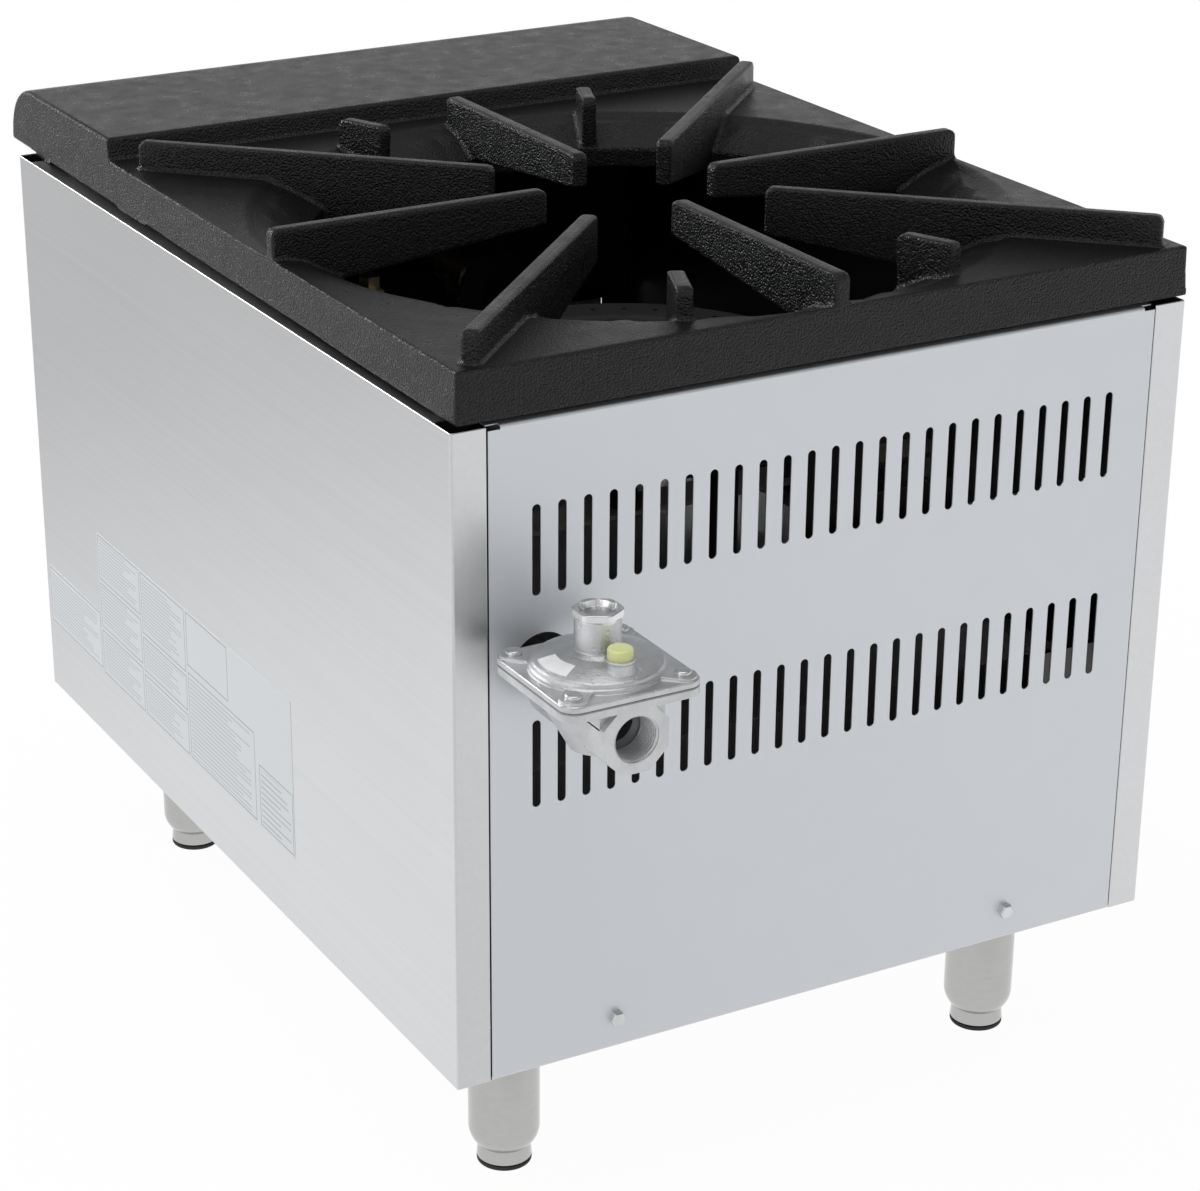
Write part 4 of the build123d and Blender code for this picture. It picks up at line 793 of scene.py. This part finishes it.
class RANGE_OT_legs(bpy.types.Operator):
    """Finishes the legs, feet, pads and their bolts"""

    bl_idname = "range.legs"
    bl_label = "Legs"

    def execute(self, context):
        settings = context.scene.range_sheet
        trim = context.scene.range_trim
        tube = brushed_sheet("leg_tube", settings.leg, settings, rough=-0.14)
        wear(tube, *(f"{kind}_{corner}" for kind in ("leg", "foot") for corner in CORNERS))
        wear(moulded("foot_rubber", trim.rubber, 0.7), *(f"foot_pad_{corner}" for corner in CORNERS))
        wear(plain_metal("zinc_plate", trim.zinc, 0.32), "leg_bolts", "rear_screws", "regulator_screws")
        return {"FINISHED"}


class RANGE_OT_burners(bpy.types.Operator):
    """Finishes the burners, their shutters and the pilot"""

    bl_idname = "range.burners"
    bl_label = "Burners"

    def execute(self, context):
        settings = context.scene.range_gas
        zinc = context.scene.range_trim.zinc
        iron = raw_casting(
            "burner_iron", settings.iron, metallic=0.0, rough=0.72, grain_size=0.9 * MM, depth=0.18 * MM
        )
        wear(iron, "burner_inner", "burner_outer")
        shutter = plain_metal("shutter_plate", zinc, 0.36)
        wear(shutter, "air_shutter_inner", "air_shutter_outer", "pilot_burner")
        wear(plain_metal("pilot_tube_metal", (0.72, 0.73, 0.74), 0.3), "pilot_tube")
        return {"FINISHED"}


class RANGE_OT_gas_line(bpy.types.Operator):
    """Finishes the pipes and valves"""

    bl_idname = "range.gas_line"
    bl_label = "Gas Line"

    def execute(self, context):
        settings = context.scene.range_gas
        pipe = raw_casting(
            "black_pipe", settings.pipe, metallic=0.3, rough=0.48, grain_size=0.8 * MM, depth=0.05 * MM
        )
        wear(pipe, "inlet_nipple", "supply_pipe", "pipe_coupling")
        wear(pipe, "manifold_pipe", "manifold_elbow", "manifold_cap")
        brass = plain_metal("turned_brass", settings.brass, 0.3)
        for kind in ("valve", "valve_stem", "orifice_hood"):
            wear(brass, f"{kind}_inner", f"{kind}_outer")
        wear(brass, "pilot_valve")
        return {"FINISHED"}


class RANGE_OT_knobs(bpy.types.Operator):
    """Finishes the knobs and their bezels"""

    bl_idname = "range.knobs"
    bl_label = "Knobs"

    def execute(self, context):
        black = moulded("knob_black", context.scene.range_trim.knob, 0.3, depth=0.006 * MM)
        wear(black, "knob_inner", "knob_outer")
        wear(plain_metal("bezel_metal", (0.75, 0.75, 0.76), 0.34), "bezel_inner", "bezel_outer")
        return {"FINISHED"}


class RANGE_OT_regulator(bpy.types.Operator):
    """Casts the regulator's finer forms, lines its bore with a thread and lays its blank nameplate"""

    bl_idname = "range.regulator"
    bl_label = "Regulator"

    def execute(self, context):
        settings = context.scene.range_regulator
        self.cast = raw_casting(
            "regulator_cast", settings.casting, metallic=0.9, rough=0.4, grain_size=0.9 * MM, depth=0.28 * MM
        )
        low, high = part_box("regulator_cover")
        self.centre = ((low.x + high.x) / 2, (low.y + high.y) / 2)
        self.half = (high.x - low.x) / 2
        self.flange = low.z + settings.flange
        low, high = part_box("inlet_nipple")
        self.inlet = (low.z + high.z) / 2
        self.cover(settings)
        self.cap(settings)
        self.body(settings)
        self.thread(settings)
        self.nameplate(settings)
        self.vent_plug(settings)
        wear(moulded("gasket_sheet", (0.30, 0.30, 0.30), 0.6), "regulator_gasket")
        return {"FINISHED"}

    def disc_profile(self, settings):
        """Radius and height of the raised disc's stepped edge and the dome that rises to the tower."""
        flange, rim, tower = self.flange, settings.disc_radius, settings.tower_radius
        return (
            (rim, flange - 1.0 * MM),
            (rim, flange + 2.0 * MM),
            (rim - 1.0 * MM, flange + 2.5 * MM),
            (rim - 1.5 * MM, flange + 4.4 * MM),
            (rim - 2.6 * MM, flange + 5.2 * MM),
            (rim - 7.2 * MM, flange + 6.8 * MM),
            (rim - 13.0 * MM, flange + 8.2 * MM),
            (tower + 2.4 * MM, flange + 9.0 * MM),
            (tower, flange + 11.0 * MM),
        )

    def cover(self, settings):
        """The flange, its four screw pads, the stepped disc, the tower and the vent's boss, cast in one."""
        cap_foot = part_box("regulator_cap")[1].z - settings.cap_height
        disc = self.disc_profile(settings)
        profile = ((0, disc[0][1]), *disc, (settings.tower_radius, cap_foot), (0, cap_foot))
        shells = [turned(profile, self.centre), *self.screw_pads(settings), self.vent_boss(settings)]
        made = own_copy(("regulator_cover",), "regulator_cover_skin", self.cast, "regulator_casting")
        with editing(made.data) as shape:
            just_under = self.flange - 0.01 * MM
            self.cut_above(shape, just_under)
            for added_shell in shells:
                shape.from_mesh(added_shell)
            bmesh.ops.recalc_face_normals(shape, faces=shape.faces)
        soften_casting(made, settings.skin_step, rounds=1, turn=3.0)

    def screw_pads(self, settings):
        """The raised pads round the four screws; each runs in under the disc."""
        x, y = self.centre
        sunk = 1.0 * MM
        arc = np.linspace(-pi / 2, pi / 2, 12)
        inner = settings.disc_radius - 4 * MM
        distance = (self.half - settings.ear_inset) * 2 ** 0.5
        along = np.array([inner, *(distance + settings.ear_radius * np.cos(arc)), inner])
        across = settings.ear_radius * np.sin(np.array([arc[0], *arc, arc[-1]]))
        for turn in (pi / 4, 3 * pi / 4, 5 * pi / 4, 7 * pi / 4):
            outline = np.stack([
                x + along * np.cos(turn) - across * np.sin(turn),
                y + along * np.sin(turn) + across * np.cos(turn),
            ], axis=1)
            yield prism(outline, self.flange - sunk, self.flange + settings.ear_rise)

    def vent_boss(self, settings):
        """The round boss under the vent plug, with a lip at its top."""
        radius, lip = settings.vent_radius, 0.3 * MM
        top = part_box("vent_plug")[0].z
        profile = (
            (0, self.flange), (radius, self.flange), (radius - lip, top - 1.8 * MM),
            (radius + lip, top - 1.4 * MM), (radius + lip, top), (0, top),
        )
        return turned(profile, (self.centre[0], self.centre[1] + settings.vent_from_tower))

    def cut_above(self, shape, height):
        """Takes away what lies above a height, and closes what is left there."""
        cut = bmesh.ops.bisect_plane(
            shape, geom=[*shape.verts, *shape.edges, *shape.faces], plane_co=(0, 0, height),
            plane_no=(0, 0, 1), clear_outer=True,
        )
        rim = [edge for edge in cut["geom_cut"] if isinstance(edge, bmesh.types.BMEdge)]
        bmesh.ops.holes_fill(shape, edges=rim)

    def cap(self, settings):
        """A hexagonal cap with cut corners and a deep hollow: radius by angle, ring by ring."""
        corner_cut, groove, groove_edge = 1.085, 1.0 * MM, 0.75
        angle = np.linspace(0, 2 * pi, 144, endpoint=False)
        half = settings.cap_flats / 2
        hexagon = half / np.cos((angle + pi / 6) % (pi / 3) - pi / 6)
        corners = corner_cut * half / np.cos(angle % (pi / 3) - pi / 6)
        outer = np.minimum(hexagon, corners)
        notch = groove * (np.cos(6 * angle) > groove_edge)
        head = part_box("regulator_cap")[1].z
        foot = head - settings.cap_height - 1.0 * MM
        rings = (
            (outer - 0.5 * MM, foot),
            (outer - 0.5 * MM, foot + 1.0 * MM),
            (outer, foot + 1.2 * MM),
            (outer, head - 0.4 * MM),
            (outer - 0.4 * MM, head),
            (half - 2.2 * MM + notch, head),
            (half - 3.2 * MM + notch, head - settings.cap_dish),
            (half - 6.0 * MM, head - settings.cap_dish),
        )
        x, y = self.centre
        cos, sin = np.cos(angle), np.sin(angle)
        points = np.stack([
            np.column_stack([x + radius * cos, y + radius * sin, np.full(len(angle), z)])
            for radius, z in rings
        ])
        bright = plain_metal("regulator_bright", settings.bright, 0.26)
        made = own_copy((), "regulator_cap_skin", bright, "regulator_cap_bright", [closed_rings(points)])
        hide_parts("regulator_cap")
        soften_edges(made, 0.15 * MM)

    def body(self, settings):
        """The copied body with the corners filled between its octagonal port and the flange above."""
        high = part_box("regulator_body")[1]
        fill_depth, inset = 22 * MM, 1.0 * MM
        half = settings.port_flats / 2
        side = half * np.tan(pi / 8)
        foot, top = self.inlet + side - inset, high.z - 1.0 * MM
        face = high.y - 0.5 * MM
        slant_end = half + side - (top - self.inlet) - inset
        outline = np.array([(half, foot), (half, top), (slant_end, top), (half - 1.2 * MM, foot)])
        fills = []
        for sign in (-1, 1):
            x = self.centre[0] + sign * outline[:, 0]
            fills.append(closed_rings(np.stack([
                np.column_stack([x, np.full(len(x), y), outline[:, 1]])
                for y in (face - fill_depth, face - settings.collar)
            ])))
        made = own_copy(("regulator_body",), "regulator_body_skin", self.cast, "regulator_casting", fills)
        soften_edges(made, settings.edge)

    def thread(self, settings):
        """A liner in the bore. Its inner radius falls by depth * (1 + cos(2 pi s / pitch - turn)) / 2."""
        clearance, wall, set_in = 0.1 * MM, 0.6 * MM, 0.9 * MM
        x, y = self.centre[0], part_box("regulator_body")[1].y - set_in
        rows = int(10 * settings.thread_length / settings.thread_pitch)
        s = np.linspace(0, settings.thread_length, rows)[:, None]
        turn = np.linspace(0, 2 * pi, ROUND_STEPS, endpoint=False)[None, :]
        wave = (1 + np.cos(2 * pi * s / settings.thread_pitch - turn)) / 2
        inner = settings.bore_radius + clearance - settings.thread_depth * wave
        outer = np.full((2, turn.size), settings.bore_radius + wall)
        depth = np.vstack([s, [[settings.thread_length], [0.0]]])
        radius, depth, turn = np.broadcast_arrays(np.vstack([inner, outer]), depth, turn)
        z = self.inlet + radius * np.sin(turn)
        points = np.stack([x + radius * np.cos(turn), y - depth, z], axis=-1)
        faces = grid_faces(*radius.shape, wrap_rows=True, wrap_columns=True)
        piece("regulator_thread", points, faces, self.cast, "regulator_casting", smooth=True)

    def nameplate(self, settings):
        """A thin blank plate bent over the disc's slope, on its right."""
        radius, height = np.array(self.disc_profile(settings)).T
        rise, sunk, bearing, half_turn = 0.35 * MM, 0.3 * MM, radians(6), 0.42
        r = np.linspace(settings.disc_radius - 13.5 * MM, settings.disc_radius - 4.5 * MM, 10)
        turn = bearing + np.linspace(-half_turn, half_turn, 40)
        z = np.interp(r, radius[::-1], height[::-1])
        spokes = np.concatenate([r, r[::-1]])[:, None]
        levels = np.concatenate([z + rise, z[::-1] - sunk])[:, None]
        points = np.stack(np.broadcast_arrays(
            self.centre[0] + spokes * np.cos(turn), self.centre[1] + spokes * np.sin(turn), levels
        ), axis=-1)
        rows, columns = points.shape[:2]
        faces = grid_faces(rows, columns, wrap_rows=True)
        for row in range(len(r) - 1):
            other = rows - 1 - row
            for column in (0, columns - 1):
                faces.append([step * columns + column for step in (row, row + 1, other - 1, other)])
        metal = moulded("nameplate_face", settings.plate, 0.4)
        piece("regulator_nameplate", points, faces, metal, "regulator_casting")

    def vent_plug(self, settings):
        """The pale plastic plug in the vent, with a rounded top edge."""
        low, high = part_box("vent_plug")
        centre = ((low.x + high.x) / 2, (low.y + high.y) / 2)
        radius = (high.x - low.x) / 2 - 0.7 * MM
        profile = (
            (0, low.z - 0.5 * MM), (radius, low.z - 0.5 * MM), (radius, high.z - 1.2 * MM),
            (radius - 0.4 * MM, high.z - 0.4 * MM), (radius - 1.2 * MM, high.z), (0, high.z),
        )
        plastic = moulded("vent_plug_plastic", settings.plug, 0.30, depth=0.004 * MM, subsurface_weight=0.3)
        made = own_copy((), "vent_plug_skin", plastic, "plug_yellow", [turned(profile, centre)])
        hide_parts("vent_plug")
        soften_edges(made, 0.2 * MM)


class RANGE_OT_stickers(bpy.types.Operator):
    """Lays the two blank forms on the side panel"""

    bl_idname = "range.stickers"
    bl_label = "Stickers"

    def execute(self, context):
        trim = context.scene.range_trim
        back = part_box("side_panel_right")[1].x - trim.sticker
        corner = 1.5 * MM
        large = ((-234.7 * MM, 144 * MM), (70.7 * MM, 245.4 * MM))
        small = ((-332.2 * MM, 146 * MM), (-234.9 * MM, 188.5 * MM))
        for name, (start, end), boxes in (
            ("sticker_large", large, self.large_boxes(trim, large)),
            ("sticker_small", small, [self.inset(trim, *small[0], *small[1])]),
        ):
            stock = blank_form(name, trim, boxes)
            plate(name, (back, *start), (back, *end), corner, trim.sticker, stock, "stainless")
        return {"FINISHED"}

    def inset(self, trim, left, foot, right, head, spacing=1.0):
        """A frame just inside the given edges: left, right, foot, head, and its ruled lines' pitch."""
        edge = 1.4 * MM
        return (left + edge, right - edge, foot + edge, head - edge, trim.rule_pitch * spacing)

    def large_boxes(self, trim, corners):
        """Two columns of three framed boxes, then a ruled field with a small table at its lower right."""
        (left, foot), (right, head) = corners
        height, column = head - foot, 74 * MM
        boxes = []
        for number, shares in enumerate(((1 / 3, 1 / 3, 1 / 3), (0.44, 0.26, 0.30))):
            top = head
            start = left + number * column
            for part in shares:
                bottom = top - part * height
                boxes.append(self.inset(trim, start, bottom, start + column, top))
                top = bottom
        start = left + 2 * column
        width = right - start
        unruled = 1000  # spaces the lines so wide that none falls in the box
        boxes.append(self.inset(trim, start, foot + 0.62 * height, start + 0.42 * width, head, unruled))
        boxes.append(self.inset(trim, start, foot, start + 0.66 * width, foot + 0.60 * height, 1.2))
        boxes.append(self.inset(trim, start + 0.68 * width, foot, right, foot + 0.42 * height, 1.6))
        return boxes


class RANGE_OT_stage(bpy.types.Operator):
    """Sets the floor, the lamps, the world and the camera"""

    bl_idname = "range.stage"
    bl_label = "Stage"

    def execute(self, context):
        settings = context.scene.range_studio
        scene = context.scene
        scene.view_settings.view_transform = "Standard"
        self.floor(settings)
        self.world(scene, settings)
        self.lamps(scene, settings)
        camera = bpy.data.objects.new("camera", bpy.data.cameras.new("camera"))
        camera.location = settings.camera_place
        camera.rotation_euler = settings.camera_turn
        camera.data.lens = settings.lens
        camera.data.shift_x, camera.data.shift_y = settings.shift
        camera.data.dof.use_dof = False
        scene.collection.objects.link(camera)
        scene.camera = camera
        return {"FINISHED"}

    def floor(self, settings):
        """A wide level floor that keeps a faint shadow and fades into the white background."""
        reach, sunk = 30.0, 0.2 * MM
        ticks = np.linspace(-reach, reach, 9)
        x, y = np.meshgrid(ticks, ticks)
        points = np.stack([x, y, np.full_like(x, -sunk)], axis=-1)
        material, tree, shader, coords = start_finish("floor", settings.floor, 0.9)
        grain = placed(tree, slow_mottle, vector=coords, size=0.5)
        tint(tree, shader, grain["Tone"], settings.floor, 0.99, 1.01)
        camera_ray, sent_on = rays(tree)
        # painted shade: what the panels mirror of the floor is darker beside the body towards the front, and
        # behind it to the right
        place = split(tree, coords)
        beside = spread(tree, place["X"], 0.22, 0.28)
        behind = spread(tree, place["Y"], 0.30, 0.40)
        painted_shade_beside = between(tree, beside, 1.0, spread(tree, place["Y"], -1.3, -0.4, 0.66, 1.0))
        painted_shade_behind = between(tree, behind, 1.0, spread(tree, place["X"], -0.45, 0.1, 1.0, 0.82))
        strength = between(tree, camera_ray, times(tree, painted_shade_beside, painted_shade_behind), 1.0)
        white = put(tree, "ShaderNodeEmission", {"Color": (1, 1, 1, 1), "Strength": strength})
        away = put(tree, "ShaderNodeVectorMath", {0: coords}, operation="LENGTH").outputs["Value"]
        factor = plus(tree, times(tree, camera_ray, spread(tree, away, 0.4, 1.2, 0.97, 1.0)), sent_on)
        shaders = {0: factor, 1: shader.outputs["BSDF"], 2: white.outputs["Emission"]}
        mix = put(tree, "ShaderNodeMixShader", shaders)
        tree.links.new(mix.outputs[0], tree.nodes["Material Output"].inputs["Surface"])
        data = shell(points, grid_faces(len(ticks), len(ticks)), "floor")
        data.materials.append(material)
        made = bpy.data.objects.new("floor", data)
        bpy.context.scene.collection.objects.link(made)

    def world(self, scene, settings):
        """White to the camera, a studio that darkens overhead to metal, and an even light to the rest."""
        world = bpy.data.worlds.new("studio")
        world.use_nodes = True
        scene.world = world
        tree = world.node_tree
        back = tree.nodes["Background"]
        back.inputs["Color"].default_value = (1, 1, 1, 1)
        camera_ray, sent_on = rays(tree)
        direction = tree.nodes.new("ShaderNodeTexCoord").outputs["Generated"]
        studio = spread(tree, split(tree, direction)["Z"], 0.12, 0.40, 1.0, settings.sky)
        indirect = between(tree, sent_on, settings.ambient, studio)
        tree.links.new(between(tree, camera_ray, indirect, 1.0), back.inputs["Strength"])

    def lamps(self, scene, settings):
        """A wide soft lamp overhead, one before the front that lights the far rims, and one at the side."""
        aim = Vector((0, 0, 0.35))
        for name, watts, place, size in (
            ("key", settings.key_power, (0.2, 0.3, 2.8), 2.0),
            ("back", settings.back_power, (1.3, -2.6, 1.7), 1.0),
            ("fill", settings.fill_power, (2.6, 0.9, 1.3), 1.6),
        ):
            lamp = bpy.data.lights.new(name, "AREA")
            lamp.energy = watts
            lamp.shape = "SQUARE"
            lamp.size = size
            made = bpy.data.objects.new(name, lamp)
            made.location = place
            made.rotation_euler = (aim - Vector(place)).to_track_quat("-Z", "Y").to_euler()
            scene.collection.objects.link(made)


OPERATORS = (
    RANGE_OT_cast_top,
    RANGE_OT_sheet_metal,
    RANGE_OT_legs,
    RANGE_OT_burners,
    RANGE_OT_gas_line,
    RANGE_OT_knobs,
    RANGE_OT_regulator,
    RANGE_OT_stickers,
    RANGE_OT_stage,
)
SETTINGS = {
    "range_cast_top": CastTopSettings,
    "range_sheet": SheetSettings,
    "range_gas": GasSettings,
    "range_regulator": RegulatorSettings,
    "range_trim": TrimSettings,
    "range_studio": StudioSettings,
}


class RANGE_PT_looks(bpy.types.Panel):
    """Lists the range's operators and their settings"""

    bl_label = "Stock Pot Range"
    bl_idname = "RANGE_PT_looks"
    bl_space_type = "VIEW_3D"
    bl_region_type = "UI"
    bl_category = "Range"

    def draw(self, context):
        for operator in OPERATORS:
            self.layout.operator(operator.bl_idname)
        for name, settings in SETTINGS.items():
            box = self.layout.box()
            for value in settings.__annotations__:
                box.prop(getattr(context.scene, name), value)


def register():
    for kind in (*SETTINGS.values(), *OPERATORS, RANGE_PT_looks):
        bpy.utils.register_class(kind)
    for name, settings in SETTINGS.items():
        setattr(bpy.types.Scene, name, PointerProperty(type=settings))


def unregister():
    for name in SETTINGS:
        delattr(bpy.types.Scene, name)
    for kind in reversed((*SETTINGS.values(), *OPERATORS, RANGE_PT_looks)):
        bpy.utils.unregister_class(kind)


def main():
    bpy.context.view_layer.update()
    register()
    for operator in OPERATORS:
        family, step = operator.bl_idname.split(".")
        getattr(getattr(bpy.ops, family), step)()


if __name__ == "__main__":
    main()
